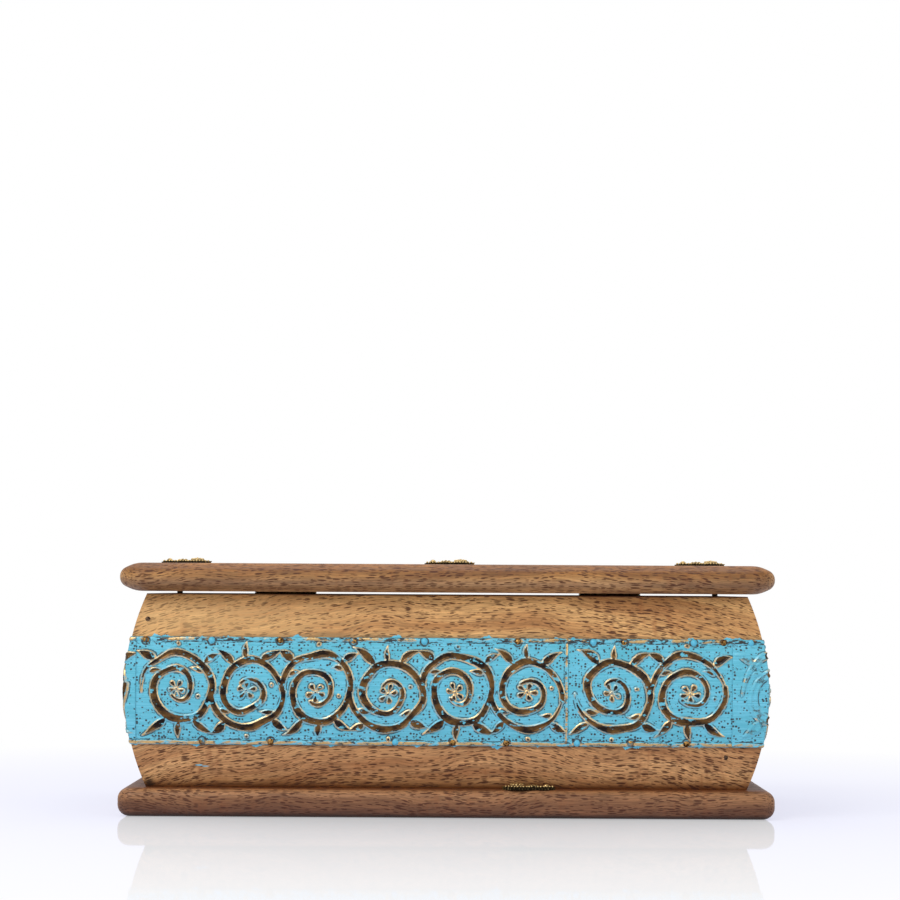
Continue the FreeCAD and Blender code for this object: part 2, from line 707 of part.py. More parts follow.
nodes["base_board"] = cut("base_drilled", base(), base_holes, ledge_pins)
for side in SIDES:
    nodes[f"{side}_panel"] = cut(f"{side}_drilled", panels[side], *tacks.values(), brads, base_holes)
nodes["back_panel"] = cut("back_bored", nodes["back_panel"], screws["rim_leaf"])
nodes["lid_board"] = cut("lid_drilled", lid(), barrel_groove(-1), barrel_groove(1),
                         screws["lid_leaf"], lid_pins)
for name, item in sheets.items():
    side = name.split("_")[1]
    nodes[name] = cut(name + "_pierced", item, tacks[side])
nodes["band_right"] = cut("band_right_lap", nodes["band_right"], tacks["front"])
for side in SIDES:
    nodes[f"band_{side}_tacks"] = tacks[side]
nodes["corner_brads"] = brads
nodes["base_screws"] = base_fixings
for name, end in (("left", -1), ("right", 1)):
    nodes.update(hinge(f"hinge_{name}", end * s.hinge_spacing / 2, screws))
nodes["hinge_rim_screws"] = screws["rim_leaf"]
nodes["hinge_lid_screws"] = screws["lid_leaf"]
nodes["lid_stops"] = stops
for name, lid_spot in zip(("left", "centre", "right"), lid_spots):
    copy = copies(f"{name}_ornament", master_ornament, [lid_spot])
    nodes[f"lid_ornament_{name}"] = cut(f"{name}_ornament_pierced", copy, lid_pins)
copy = copies("ledge_ornament", master_ornament, [ledge_spot])
nodes["foot_ornament"] = cut("foot_ornament_pierced", copy, ledge_pins)
nodes["lid_ornament_pins"] = lid_pins
nodes["foot_ornament_pins"] = ledge_pins

document.recompute()
for item in document.Objects:
    if "Invalid" in item.State or "Error" in item.State:
        raise ValueError(f"{item.Label} failed: {item.State}")

os.makedirs("parts", exist_ok=True)
for name, item in nodes.items():
    item.Label = name
    if item.Shape.isNull() or not item.Shape.isValid() or not item.Shape.Solids:
        raise ValueError(f"{name} has no valid shape")
    item.Shape.exportStep(f"parts/{name}.step")
    print(f"{name}: {len(item.Shape.Solids)} solids, {item.Shape.Volume:.1f} mm3")
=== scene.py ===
# %% [markdown]
# # A keepsake chest of mango wood with a painted brass band
# The chest is a small hinged box. Its four bulging sides, its lid and its base board are
# oiled mango wood, and a strip of embossed brass runs round its waist, painted turquoise
# and rubbed back so that the metal shows on everything that stands up. The solids come
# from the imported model. This script gives them their finishes and models the embossing.

import math

import bpy
import numpy as np
from mathutils import Matrix, Vector


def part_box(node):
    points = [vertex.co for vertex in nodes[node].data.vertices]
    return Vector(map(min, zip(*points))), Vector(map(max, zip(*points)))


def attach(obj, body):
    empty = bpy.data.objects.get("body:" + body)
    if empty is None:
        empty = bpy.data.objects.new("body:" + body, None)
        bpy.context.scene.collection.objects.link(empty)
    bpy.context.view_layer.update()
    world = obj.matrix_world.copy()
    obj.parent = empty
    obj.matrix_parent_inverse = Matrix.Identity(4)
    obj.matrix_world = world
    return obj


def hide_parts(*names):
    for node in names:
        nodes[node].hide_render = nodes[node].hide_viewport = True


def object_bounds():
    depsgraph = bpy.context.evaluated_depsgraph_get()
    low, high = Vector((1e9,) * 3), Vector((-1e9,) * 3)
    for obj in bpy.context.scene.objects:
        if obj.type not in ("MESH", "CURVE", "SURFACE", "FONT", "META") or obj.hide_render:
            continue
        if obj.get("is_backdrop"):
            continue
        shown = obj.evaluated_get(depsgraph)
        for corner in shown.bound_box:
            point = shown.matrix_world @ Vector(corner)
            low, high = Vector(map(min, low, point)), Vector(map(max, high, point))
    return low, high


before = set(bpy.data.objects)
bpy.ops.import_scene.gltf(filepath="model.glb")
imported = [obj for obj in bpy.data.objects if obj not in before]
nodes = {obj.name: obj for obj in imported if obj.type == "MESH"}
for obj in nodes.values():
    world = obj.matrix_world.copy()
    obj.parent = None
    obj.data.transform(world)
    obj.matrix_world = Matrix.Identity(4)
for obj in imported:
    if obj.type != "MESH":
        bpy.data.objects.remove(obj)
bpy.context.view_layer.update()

# %% [markdown]
# ## Small helpers
# Colours are written as hex values, as a paint chart gives them, and Blender works in
# linear light. One function turns one into the other. A second one adds a shader node
# with its settings and its links, so that each material below reads as a list of steps.

# %% Helpers
MM = 0.001


def colour(hex_code):
    """An sRGB hex colour as linear red, green, blue and alpha."""
    channels = [int(hex_code[i:i + 2], 16) / 255 for i in (1, 3, 5)]
    return [c / 12.92 if c <= 0.04045 else ((c + 0.055) / 1.055) ** 2.4 for c in channels] + [1.0]


def add(tree, kind, inputs=None, output=None, **settings):
    """Add a node with its settings. An input takes a number, a colour or another node's output.

    From and To take both ends of a range. A mix is always one of colours.
    """
    node = tree.nodes.new("ShaderNode" + kind)
    if kind == "Mix":
        node.data_type = "RGBA"
    for name, value in settings.items():
        setattr(node, name, value)
    inputs = dict(inputs or {})
    for side in ("From", "To"):
        if side in inputs:
            inputs[side + " Min"], inputs[side + " Max"] = inputs.pop(side)
    for name, value in inputs.items():
        if isinstance(name, int):
            socket = node.inputs[name]
        else:
            socket = next(s for s in node.inputs if s.enabled and s.name == name)
        if isinstance(value, bpy.types.NodeSocket):
            tree.links.new(value, socket)
        else:
            socket.default_value = value
    return next((s for s in node.outputs if s.enabled and output in (None, s.name)), None)


def material(name):
    """An empty material and its node tree, ready for a shader."""
    made = bpy.data.materials.new(name)
    made.use_nodes = True
    made.node_tree.nodes.clear()
    return made, made.node_tree


def dress(finish, *names):
    """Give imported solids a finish."""
    for name in names:
        nodes[name].data.materials.clear()
        nodes[name].data.materials.append(finish)


def in_scene(name, data):
    """An object of a camera, a lamp or a mesh, linked to the scene."""
    made = bpy.data.objects.new(name, data)
    bpy.context.scene.collection.objects.link(made)
    return made


# %% [markdown]
# ## The camera
# The photograph was taken from straight in front, with a long lens, level with the gap
# under the lid, and it leans by a third of a degree. The lid and the base are equally wide
# in it, so the lens looks level and the picture's frame is shifted up. The distance comes
# from how far the base's ends and the back edge of the lid draw together.

# %% Camera
EYE_HEIGHT = 0.0885
EYE_BACK = 1.2762
EYE_RIGHT = 0.001
LENS_MM = 124.8
SENSOR_MM = 36
FRAME_UP = 0.1540
LEAN_DEGREES = 0.34

camera = in_scene("camera", bpy.data.cameras.new("camera"))
camera.data.lens = LENS_MM
camera.data.sensor_width = SENSOR_MM
camera.data.shift_y = FRAME_UP
camera.matrix_world = (
    Matrix.Translation((EYE_RIGHT, -EYE_BACK, EYE_HEIGHT))
    @ Matrix.Rotation(math.radians(90), 4, "X")
    @ Matrix.Rotation(math.radians(LEAN_DEGREES), 4, "Z")
)
bpy.context.scene.camera = camera
bpy.context.scene.view_settings.view_transform = "Standard"

# %% [markdown]
# ## The studio
# A white world is what the camera and the shiny brass see. To matt surfaces it gives only
# a soft fill, so that the shapes come from a large soft box above and to the left, and a
# weaker one to the right.

# %% World and lamps
world = bpy.data.worlds.new("white_studio")
world.use_nodes = True
bpy.context.scene.world = world
tree = world.node_tree
tree.nodes.clear()
rays = add(tree, "LightPath").node
seen = add(tree, "Math", {0: rays.outputs["Is Camera Ray"],
                          1: rays.outputs["Is Transmission Ray"]}, operation="MAXIMUM")
seen = add(tree, "Math", {0: seen, 1: rays.outputs["Is Glossy Ray"]}, operation="MAXIMUM")
fill = add(tree, "Background", {"Color": colour("#f4f6fa"), "Strength": 0.5})
white = add(tree, "Background", {"Color": colour("#ffffff"), "Strength": 1.0})
add(tree, "OutputWorld", {"Surface": add(tree, "MixShader", {0: seen, 1: fill, 2: white})})


LIT_PLACE = Vector((0, 0, 0.05))


def soft_box(name, place, size, power):
    """A square lamp at a place, facing the middle of the chest."""
    made = in_scene(name, bpy.data.lights.new(name, "AREA"))
    made.data.size, made.data.energy = size, power
    made.location = place
    made.rotation_euler = (made.location - LIT_PLACE).to_track_quat("Z", "Y").to_euler()


soft_box("soft_box_high_left", (-0.55, -0.75, 0.95), 0.7, 9.0)
soft_box("soft_box_right", (0.9, -0.9, 0.45), 0.6, 3.0)
soft_box("soft_box_top", (0, 0.25, 1.1), 0.8, 5.0)
print("three soft boxes and a white world")

# %% [markdown]
# ## The floor
# The chest stands on a white glossy sheet. A perfect mirror would be too strong, so a
# fixed share of a mirror lies over a floor that is white to the camera, and a matt share
# keeps the chest's shadow. Both fade out away from the chest.

# %% Floor
SHADOW_SHARE = 0.34
MIRROR_SHARE = 0.4
FLOOR_HALF = 6.0
FLOOR_DROP = 0.0002

floor_finish, tree = material("white_gloss_acrylic")
place = add(tree, "NewGeometry", output="Position")
distance = add(tree, "VectorMath", {0: place}, operation="LENGTH", output="Value")
near = add(tree, "MapRange", {"Value": distance, "From": (0.12, 0.55),
                              "To": (1.0, 0.0)}, interpolation_type="SMOOTHSTEP")
matt = add(tree, "BsdfDiffuse", {"Color": colour("#f6f5f9")})
bright = add(tree, "Emission", {"Color": colour("#ffffff"), "Strength": 1.0})
rays = add(tree, "LightPath").node
seen = add(tree, "Math", {0: rays.outputs["Is Camera Ray"],
                          1: rays.outputs["Is Glossy Ray"]}, operation="MAXIMUM")
shadow_share = add(tree, "Math", {0: near, 1: SHADOW_SHARE}, operation="MULTIPLY")
lit = add(tree, "MixShader", {0: shadow_share, 1: bright, 2: matt})
body = add(tree, "MixShader", {0: seen, 1: matt, 2: lit})
mirror = add(tree, "BsdfGlossy", {"Color": colour("#d8daff"), "Roughness": 0.03})
mirror_share = add(tree, "MapRange", {"Value": distance, "From": (0.1, 0.5), "To": (MIRROR_SHARE, 0.0)})
glossy = add(tree, "MixShader", {0: mirror_share, 1: body, 2: mirror})
add(tree, "OutputMaterial", {"Surface": glossy})

floor_mesh = bpy.data.meshes.new("floor")
floor_mesh.from_pydata([(x * FLOOR_HALF, y * FLOOR_HALF, -FLOOR_DROP)
                        for x, y in ((-1, -1), (1, -1), (1, 1), (-1, 1))], [], [(0, 1, 2, 3)])
floor = in_scene("floor", floor_mesh)
floor_mesh.materials.append(floor_finish)
floor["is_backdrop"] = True

# %% [markdown]
# ## Oiled mango wood
# Mango wood is golden brown with darker streaks, and its large open pores show as short
# dark dashes, 1 to 4 mm long and a third of a millimetre wide, all along the grain. A
# photograph would show one board only. Here each board is a solid block of pattern that
# follows its own grain, so that its edges and ends match its face. The dashes are
# stretched cells, with a larger one in a dense patch. A slow noise bends the grain, a
# streaky one changes its tone, and a wavy one across it gives a faint curly figure. Tints
# are painted shade by height: they darken a board towards its foot and its edges, and on
# the lid a golden tint also paints the lit upper part. Marks are soft spots of another
# colour: a pale patch that is partly sapwood and partly painted light, a flick of paint, a
# dark spot by a corner, and darker strips along both edges of the band.

# %% Wood
BAND_LOW, BAND_TOP = (corner[2] * 1000 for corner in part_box("band_front_left"))
OUTER_HALF = (112.1, 62.0)  # half way through an end panel and a long one, where thinnest
SEED_SHIFT = (37.3, 19.1, 53.7)  # how far apart the boards are cut from the pattern
WANDER = 7.0
# Length, depth and height in millimetres, detail and roughness of three noises.
GRAIN = {"streaks": ((90, 9, 6.5), 4.0, 0.6), "fibres": ((12, 0.6, 0.45), 4.0, 0.75),
         "curl": ((2.6, 20, 8), 2.0, 0.5)}
# Two sizes of pore: a cell's length, depth and width in millimetres, and the least and the
# largest radius of the dash in it as a share of the cell.
PORES = ((4.8, 0.8, 0.74, 0.12, 0.44), (3.3, 0.62, 0.6, 0.08, 0.41))
PORE_SHARE = 0.9
# A mark ends where its distance and the fibres' fray come to this much.
MARK_END, MARK_FRAY = 1.8, 1.6
# How far the paint reaches past the band's edge, and how opaque it is there.
SLOP_REACH, SLOP_SHARE = (-0.5, 2.4), 0.93


def mango_wood(name, light, deep, seed, along="X", arch=0.0, figure=0.3,
               tints=(), paint_slop=False, marks=()):
    """Oiled mango wood whose grain runs along an axis, arched by so much per square millimetre."""
    made, tree = material(name)
    own = add(tree, "TexCoord", output="Object")
    mm = add(tree, "VectorMath", {0: own, "Scale": 1000.0}, operation="SCALE")
    turn = math.radians(-90) if along == "Y" else 0.0
    laid = add(tree, "Mapping", {"Vector": mm, "Rotation": (0, 0, turn)})
    shift = [seed * step for step in SEED_SHIFT]
    shifted = add(tree, "VectorMath", {0: laid, 1: shift}, operation="ADD")
    parts = add(tree, "SeparateXYZ", {0: laid}).node.outputs
    square = add(tree, "Math", {0: parts["X"], 1: parts["X"]}, operation="MULTIPLY")
    lift = add(tree, "Math", {0: square, 1: arch, 2: parts["Z"]}, operation="MULTIPLY_ADD")
    # The grain wanders by a few millimetres over a hand's width.
    wander = add(tree, "TexNoise", {"Vector": shifted, "Scale": 1 / 55, "Detail": 2.0})
    wander = add(tree, "MapRange", {"Value": wander, "To": (-WANDER, WANDER)})
    rise = add(tree, "Math", {0: lift, 1: wander}, operation="ADD")
    bent = add(tree, "CombineXYZ", {0: parts["X"], 1: parts["Y"], 2: rise})
    grain = add(tree, "VectorMath", {0: bent, 1: shift}, operation="ADD")

    noise = {}
    for kind, (size, detail, roughness) in GRAIN.items():
        drawn = add(tree, "VectorMath", {0: grain, 1: [1 / n for n in size]}, operation="MULTIPLY")
        noise[kind] = add(tree, "TexNoise", {"Vector": drawn, "Scale": 1.0,
                                             "Detail": detail, "Roughness": roughness})
    fibres = noise["fibres"]
    streaks = add(tree, "MapRange", {"Value": noise["streaks"], "From": (0.34, 0.66)})
    where = add(tree, "TexNoise", {"Vector": shifted, "Scale": 1 / 34, "Detail": 1.0})
    where = add(tree, "MapRange", {"Value": where, "From": (0.45, 0.62)})
    curl = add(tree, "MapRange", {"Value": noise["curl"], "From": (0.5, 0.68)})
    curl = add(tree, "Math", {0: curl, 1: where}, operation="MULTIPLY")
    curl = add(tree, "Math", {0: curl, 1: figure}, operation="MULTIPLY")

    dark = None
    for length, inward, width, small, large in PORES:
        cells = add(tree, "VectorMath", {0: grain, 1: (1 / length, 1 / inward, 1 / width)},
                    operation="MULTIPLY")
        cells = add(tree, "TexVoronoi", {"Vector": cells, "Scale": 1.0}).node
        chance = add(tree, "SeparateColor", {0: cells.outputs["Color"]})
        size = add(tree, "MapRange", {"Value": chance, "To": (small, large)})
        size = add(tree, "Math", {0: where, 1: 0.06, 2: size}, operation="MULTIPLY_ADD")
        inside = add(tree, "Math", {0: size, 1: cells.outputs["Distance"]}, operation="SUBTRACT")
        pore = add(tree, "MapRange", {"Value": inside, "From": (-0.02, 0.1)})
        dark = pore if dark is None else add(tree, "Math", {0: dark, 1: pore}, operation="MAXIMUM")

    tone = add(tree, "Mix", {"Factor": streaks, "A": colour(deep), "B": colour(light)})
    fibre = add(tree, "MapRange", {"Value": fibres, "From": (0.36, 0.64), "To": (0.6, 1.36)})
    tone = add(tree, "VectorMath", {0: tone, "Scale": fibre}, operation="SCALE")
    tone = add(tree, "Mix", {"Factor": curl, "A": tone, "B": colour("#8a4f26")})
    height = parts["Z"]
    # Each tint multiplies painted shade into the tone by height, and on the lid painted light too.
    for low, high, shade in tints:
        share = add(tree, "MapRange", {"Value": height, "From": (low, high),
                                       "To": (1.0, 0.0)}, interpolation_type="SMOOTHSTEP")
        tone = add(tree, "Mix", {"Factor": share, "A": tone, "B": colour(shade)}, blend_type="MULTIPLY")
    share = add(tree, "Math", {0: dark, 1: PORE_SHARE}, operation="MULTIPLY")
    tone = add(tree, "Mix", {"Factor": share, "A": tone, "B": colour("#431f0c")})
    rough = add(tree, "MapRange", {"Value": dark, "To": (0.5, 0.68)})

    for x, z, wide, high, soft, shade, most in marks:
        off = add(tree, "VectorMath", {0: mm, 1: (x, 0, z)}, operation="SUBTRACT")
        off = add(tree, "VectorMath", {0: off, 1: (1 / wide, 0, 1 / high)}, operation="MULTIPLY")
        off = add(tree, "VectorMath", {0: off}, operation="LENGTH", output="Value")
        ragged = add(tree, "Math", {0: fibres, 1: MARK_FRAY, 2: off}, operation="MULTIPLY_ADD")
        share = add(tree, "MapRange", {"Value": ragged, "From": (MARK_END - soft, MARK_END),
                                       "To": (most, 0.0)}, interpolation_type="SMOOTHSTEP")
        tone = add(tree, "Mix", {"Factor": share, "A": tone, "B": colour(shade)})
    if paint_slop:
        # Turquoise that slipped off the band. Its reach past the band's edge changes along
        # the board, and it lies below the upper line and above the lower one.
        wet = None
        for edge, side in ((BAND_TOP, 1.0), (BAND_LOW, -1.0)):
            slip = add(tree, "VectorMath", {0: laid, 1: (1 / 13, 0, 0)}, operation="MULTIPLY")
            slip = add(tree, "VectorMath", {0: slip, 1: (seed * 3.1 + side * 7, 0, 0)}, operation="ADD")
            slip = add(tree, "TexNoise", {"Vector": slip, "Scale": 1.0, "Detail": 5.0,
                                          "Roughness": 0.62})
            reach = add(tree, "MapRange", {"Value": slip, "From": (0.5, 0.72), "To": SLOP_REACH})
            past = add(tree, "Math", {0: height, 1: edge}, operation="SUBTRACT")
            past = add(tree, "Math", {0: past, 1: side}, operation="MULTIPLY")
            inside = add(tree, "Math", {0: reach, 1: past}, operation="SUBTRACT")
            film = add(tree, "MapRange", {"Value": inside, "From": (0.0, 0.25)})
            wet = film if wet is None else add(tree, "Math", {0: wet, 1: film}, operation="MINIMUM")
        # Only the outer half of the panel's thickness can be wet.
        away = add(tree, "VectorMath", {0: mm}, operation="ABSOLUTE")
        x, y, _ = add(tree, "SeparateXYZ", {0: away}).node.outputs
        outer_end = add(tree, "Math", {0: x, 1: OUTER_HALF[0]}, operation="GREATER_THAN")
        outer_long = add(tree, "Math", {0: y, 1: OUTER_HALF[1]}, operation="GREATER_THAN")
        outside = add(tree, "Math", {0: outer_end, 1: outer_long}, operation="MAXIMUM")
        wet = add(tree, "Math", {0: wet, 1: outside}, operation="MULTIPLY")
        share = add(tree, "Math", {0: wet, 1: SLOP_SHARE}, operation="MULTIPLY")
        tone = add(tree, "Mix", {"Factor": share, "A": tone, "B": colour("#58bcd6")})

    hollow = add(tree, "Math", {0: fibres, 1: 0.25, 2: dark}, operation="MULTIPLY_ADD")
    bump = add(tree, "Bump", {"Height": hollow, "Strength": 0.35, "Distance": 0.0002}, invert=True)
    shader = add(tree, "BsdfPrincipled", {"Base Color": tone, "Roughness": rough, "Normal": bump,
                                          "IOR": 1.5, "Specular IOR Level": 0.3})
    add(tree, "OutputMaterial", {"Surface": shader})
    return made


# A tint: the height in millimetres where it is full, where it has gone, and its colour.
# Painted shade on the side panels: the lower half, which turns down, a little darker, a shadow along
# the foot above the base, and a shadow on the rim's top under the lid.
panel_painted_shade = [(22.0, 62.0, "#f6f0f6"), (11.0, 14.5, "#9a7a5c"), (85.9, 85.2, "#7d6046")]
# A mark: its middle's x and z, half width and half height, softness, colour and share.
# Here: darker strips over and under the band, a pale patch at the upper left that is partly
# sapwood and partly painted light, two flecks of paint and a dark spot by the left corner.
front_marks = [
    (0, BAND_TOP, 190, 2.5, 1.1, "#6b5a3e", 0.68), (0, BAND_LOW, 190, 1.7, 1.0, "#5b3d25", 0.6),
    (-92, 76, 75, 14, 1.2, "#e0b577", 0.5), (-95.6, 19.7, 1.7, 0.4, 0.5, "#5cc0d8", 0.75),
    (-93.1, 19.3, 1.5, 0.35, 0.5, "#5cc0d8", 0.6), (-115, 12.5, 3.4, 3.2, 0.9, "#1d1109", 0.85)]
# Painted light and shade on the lid's edge: the lower part, which faces down, is tinted grey-blue as
# shade, and the upper part is tinted golden as the lit side.
lid_painted_light_and_shade = [(90.0, 93.5, "#e9ecff"), (96.5, 91.5, "#c8a95c")]
# Painted shade on the base board: darker towards its bottom, a shadow along its lower edge where it
# meets the floor, and a shadow on its top beside the body.
base_painted_shade = [(2.0, 9.5, "#d3c9cb"), (0.4, 2.4, "#7c6257"), (11.0, 10.4, "#bd9e7d")]
panel = {"tints": panel_painted_shade, "paint_slop": True}
boards = {
    "front_panel": ("#cfa167", "#a27141", {"arch": 0.00115, "figure": 0.4, "marks": front_marks}),
    "back_panel": ("#cda36c", "#a27444", {"arch": 0.0009}),
    "left_panel": ("#d0a670", "#a67849", {"along": "Y"}),
    "right_panel": ("#caa06b", "#a07245", {"along": "Y"}),
    "lid_board": ("#bb8d57", "#795331", {"arch": 0.0003, "tints": lid_painted_light_and_shade}),
    "base_board": ("#9a6d47", "#6e482e", {"arch": -0.0002, "tints": base_painted_shade}),
}
for seed, (node, (light, deep, extra)) in enumerate(boards.items(), 1):
    side, kind = node.split("_")
    extra = {**panel, **extra} if kind == "panel" else extra
    dress(mango_wood("oiled_mango_" + side, light, deep, seed, **extra), node)
print("six boards of mango wood")

# %% [markdown]
# ## Small metal and felt parts
# The hinges, their screws and the ornaments' pins are brass that has gone dull. The screws
# under the base are steel, the brads in the corners are dark iron, and two felt dots keep
# the lid off the rim. A metal keeps the default IOR, and its look comes from its colour,
# from how rough it is and from a cloudy tarnish.

# %% Hinges, screws, pins and felt
def old_metal(name, bright, tarnish, roughness, scale):
    """A metal with tarnish in clouds of a size in millimetres."""
    made, tree = material(name)
    own = add(tree, "TexCoord", output="Object")
    clouds = add(tree, "TexNoise", {"Vector": own, "Scale": 1000 / scale, "Detail": 6.0,
                                    "Roughness": 0.65})
    share = add(tree, "MapRange", {"Value": clouds, "From": (0.42, 0.62)})
    tone = add(tree, "Mix", {"Factor": share, "A": colour(bright), "B": colour(tarnish)})
    rough = add(tree, "MapRange", {"Value": share, "To": (roughness, roughness + 0.3)})
    bump = add(tree, "Bump", {"Height": clouds, "Strength": 0.2, "Distance": 0.0001})
    shader = add(tree, "BsdfPrincipled", {"Base Color": tone, "Metallic": 1.0,
                                          "Roughness": rough, "Normal": bump})
    add(tree, "OutputMaterial", {"Surface": shader})
    return made


dull_brass = old_metal("dull_rolled_brass", "#a98b52", "#54401f", 0.38, 2.5)
steel = old_metal("bright_steel", "#b9b8b5", "#6b6864", 0.3, 1.5)
dark_iron = old_metal("dark_iron_brad", "#5d4a3b", "#241a14", 0.5, 0.8)
hinges = [f"hinge_{side}_{part}" for side in ("left", "right")
          for part in ("rim_leaf", "lid_leaf", "pin")]
dress(dull_brass, *hinges, "hinge_rim_screws", "hinge_lid_screws",
      "lid_ornament_pins", "foot_ornament_pins")
dress(steel, "base_screws")
dress(dark_iron, "corner_brads")

felt, tree = material("pressed_wool_felt")
own = add(tree, "TexCoord", output="Object")
fuzz = add(tree, "TexNoise", {"Vector": own, "Scale": 1000 / 0.35, "Detail": 3.0})
tone = add(tree, "Mix", {"Factor": fuzz, "A": colour("#1c1714"), "B": colour("#40342b")})
bump = add(tree, "Bump", {"Height": fuzz, "Strength": 0.6, "Distance": 0.0002})
add(tree, "OutputMaterial", {"Surface": add(tree, "BsdfPrincipled", {
    "Base Color": tone, "Roughness": 0.95, "Normal": bump, "Sheen Weight": 0.4})})
dress(felt, "lid_stops")
print("brass, steel, iron and felt for the fittings")

# %% [markdown]
# ## The vine on the brass band
# The band is sheet brass that was laid on pitch and worked with punches, so every motif
# is a raised double line round a sunk middle. The ornament here is a scrolling vine, the
# oldest of border patterns: a stem in half circles, a shoot that curls back under each
# arc, leaves in the corners and a flower in each scroll. It is drawn as strokes, each a
# line with a width that swells and tapers, and it is kept as a distance to the nearest
# stroke's edge, so that the same numbers give both the relief and the paint.

# %% Strokes
RELIEF_FAR = 4.0  # a stroke further away than this isn't felt


def stroke(points, widths):
    """A stroke as rows of place along, place up and half width, in millimetres."""
    points = np.asarray(points, float)
    share = np.interp(np.linspace(0, 1, len(points)), np.linspace(0, 1, len(widths)), widths)
    return np.column_stack([points, share])


def dot(middle, radius):
    """A round boss."""
    return stroke([middle, np.add(middle, (0.01, 0))], [radius, radius])


def leaf(foot, tip, bend, half_width):
    """A teardrop leaf from foot to tip whose line bends by so many degrees."""
    chord = tip - foot
    start = math.atan2(chord[1], chord[0]) - math.radians(bend) / 2
    angles = start + math.radians(bend) * np.linspace(0, 1, 9)
    steps = np.column_stack([np.cos(angles), np.sin(angles)]) * np.hypot(*chord) / 8
    return stroke(foot + np.cumsum(steps, axis=0),
                  half_width * np.array([0.35, 0.75, 0.98, 1.0, 0.9, 0.72, 0.5, 0.28, 0.1]))


def flower(middle, rng):
    """Five petals round a bead."""
    turns = np.radians(rng.uniform(0, 72) + 72 * np.arange(5))
    petals = [stroke([middle + 1.5 * d, middle + 2.7 * d], [0.75, 1.2])
              for d in np.column_stack([np.cos(turns), np.sin(turns)])]
    return petals + [dot(middle, 0.8)]


# Leaves of a scroll: turn and radius of the foot and of the tip, bend and half width.
LEAVES = [(-62, 11.7, -48, 20.5, 40, 1.9), (-118, 10.8, -128, 20.5, -40, 1.9),
          (-88, 11.4, -88, 18, 30, 1.4), (48, 14.5, 41, 21.5, -35, 1.8),
          (128, 14.5, 135, 21.5, 35, 1.8), (150, 12.6, 128, 9.6, -60, 1.2),
          (35, 12.4, 58, 9.9, 60, 1.2)]
SCROLL_LENGTH, SCROLL_RADIUS = 28.0, 14.2
# The shoot turns back by so many degrees and draws in by so many millimetres.
SHOOT_START, SHOOT_TURN, SHOOT_IN, SHOOT_PACE = 12, 500, 10.4, 0.85


def vine(start, end, rng, side=1):
    """Strokes of a scrolling vine between two places along the band."""
    count = max(1, round((end - start) / SCROLL_LENGTH))
    half = (end - start) / count / 2
    strokes = []
    for k in range(count):
        middle = np.array([start + half * (2 * k + 1), 0.0])
        drift = rng.uniform(-0.7, 0.7, 2)

        def at(turn, radius):
            """A place round the scroll's middle."""
            a = math.radians(turn)
            return middle + np.array([radius * math.cos(a) * half / (SCROLL_LENGTH / 2),
                                      side * radius * math.sin(a)])

        ends = [0.5 if k == 0 else 1.35, 1.75, 0.5 if k == count - 1 else 1.35]
        strokes.append(stroke([at(a, SCROLL_RADIUS) for a in np.linspace(180, 0, 25)], ends))
        sweep = np.linspace(0, 1, 46)
        shoot = [at(SHOOT_START - SHOOT_TURN * t, SCROLL_RADIUS - SHOOT_IN * t ** SHOOT_PACE)
                 + drift * t for t in sweep]
        strokes.append(stroke(shoot, [1.3, 1.8, 1.5, 1.2, 0.9]))
        strokes += flower(middle + drift, rng)
        for foot_turn, foot_radius, tip_turn, tip_radius, bend, width in LEAVES:
            strokes.append(leaf(at(foot_turn, foot_radius), at(tip_turn, tip_radius),
                                side * bend, width * rng.uniform(0.85, 1.1)))
        strokes += [dot(at(90, 17.9), 0.95), dot(at(-12, 9.4), 0.9)]
        side = -side
    return strokes


def distance_to(strokes, along, up):
    """Millimetres from each place to the nearest stroke's edge, less than zero inside it."""
    # A hand never follows the drawing exactly.
    along, up = (along + 0.5 * np.sin(up / 4.1 + along / 9) + 0.35 * np.sin(along / 3.3),
                 up + 0.5 * np.sin(along / 5.2) + 0.3 * np.sin(along / 2.4 + up / 3))
    places = np.column_stack([along.ravel(), up.ravel()])
    nearest = np.full(len(places), RELIEF_FAR)
    for rows in strokes:
        low = rows[:, :2].min(0) - RELIEF_FAR - 1
        high = rows[:, :2].max(0) + RELIEF_FAR + 1
        close = np.flatnonzero(np.all((places > low) & (places < high), axis=1))
        here, best = places[close], nearest[close]
        for a, b in zip(rows[:-1], rows[1:]):
            axis = b[:2] - a[:2]
            t = np.clip((here - a[:2]) @ axis / (axis @ axis), 0, 1)
            gap = np.hypot(*(here - a[:2] - t[:, None] * axis).T) - (a[2] + t * (b[2] - a[2]))
            np.minimum(best, gap, out=best)
        nearest[close] = best
    return nearest.reshape(along.shape)


# %% [markdown]
# ## The embossed sheets
# Each sheet of the band is a fine grid that follows the bulge of the panel under it. The
# two front sheets meet in a raised seam. The end sheets go over them and round the
# corners. The grid's height comes from the distance to the strokes: up a steep flank, over
# a rounded rim, and down into the sunk middle. A bead runs along both edges. The sheet is
# pressed down round each tack. Four numbers are kept with each point for the paint.

# %% Sizes of the body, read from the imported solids
def box_mm(name):
    """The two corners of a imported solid's box, in millimetres."""
    low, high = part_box(name)
    return np.array(low) * 1000, np.array(high) * 1000


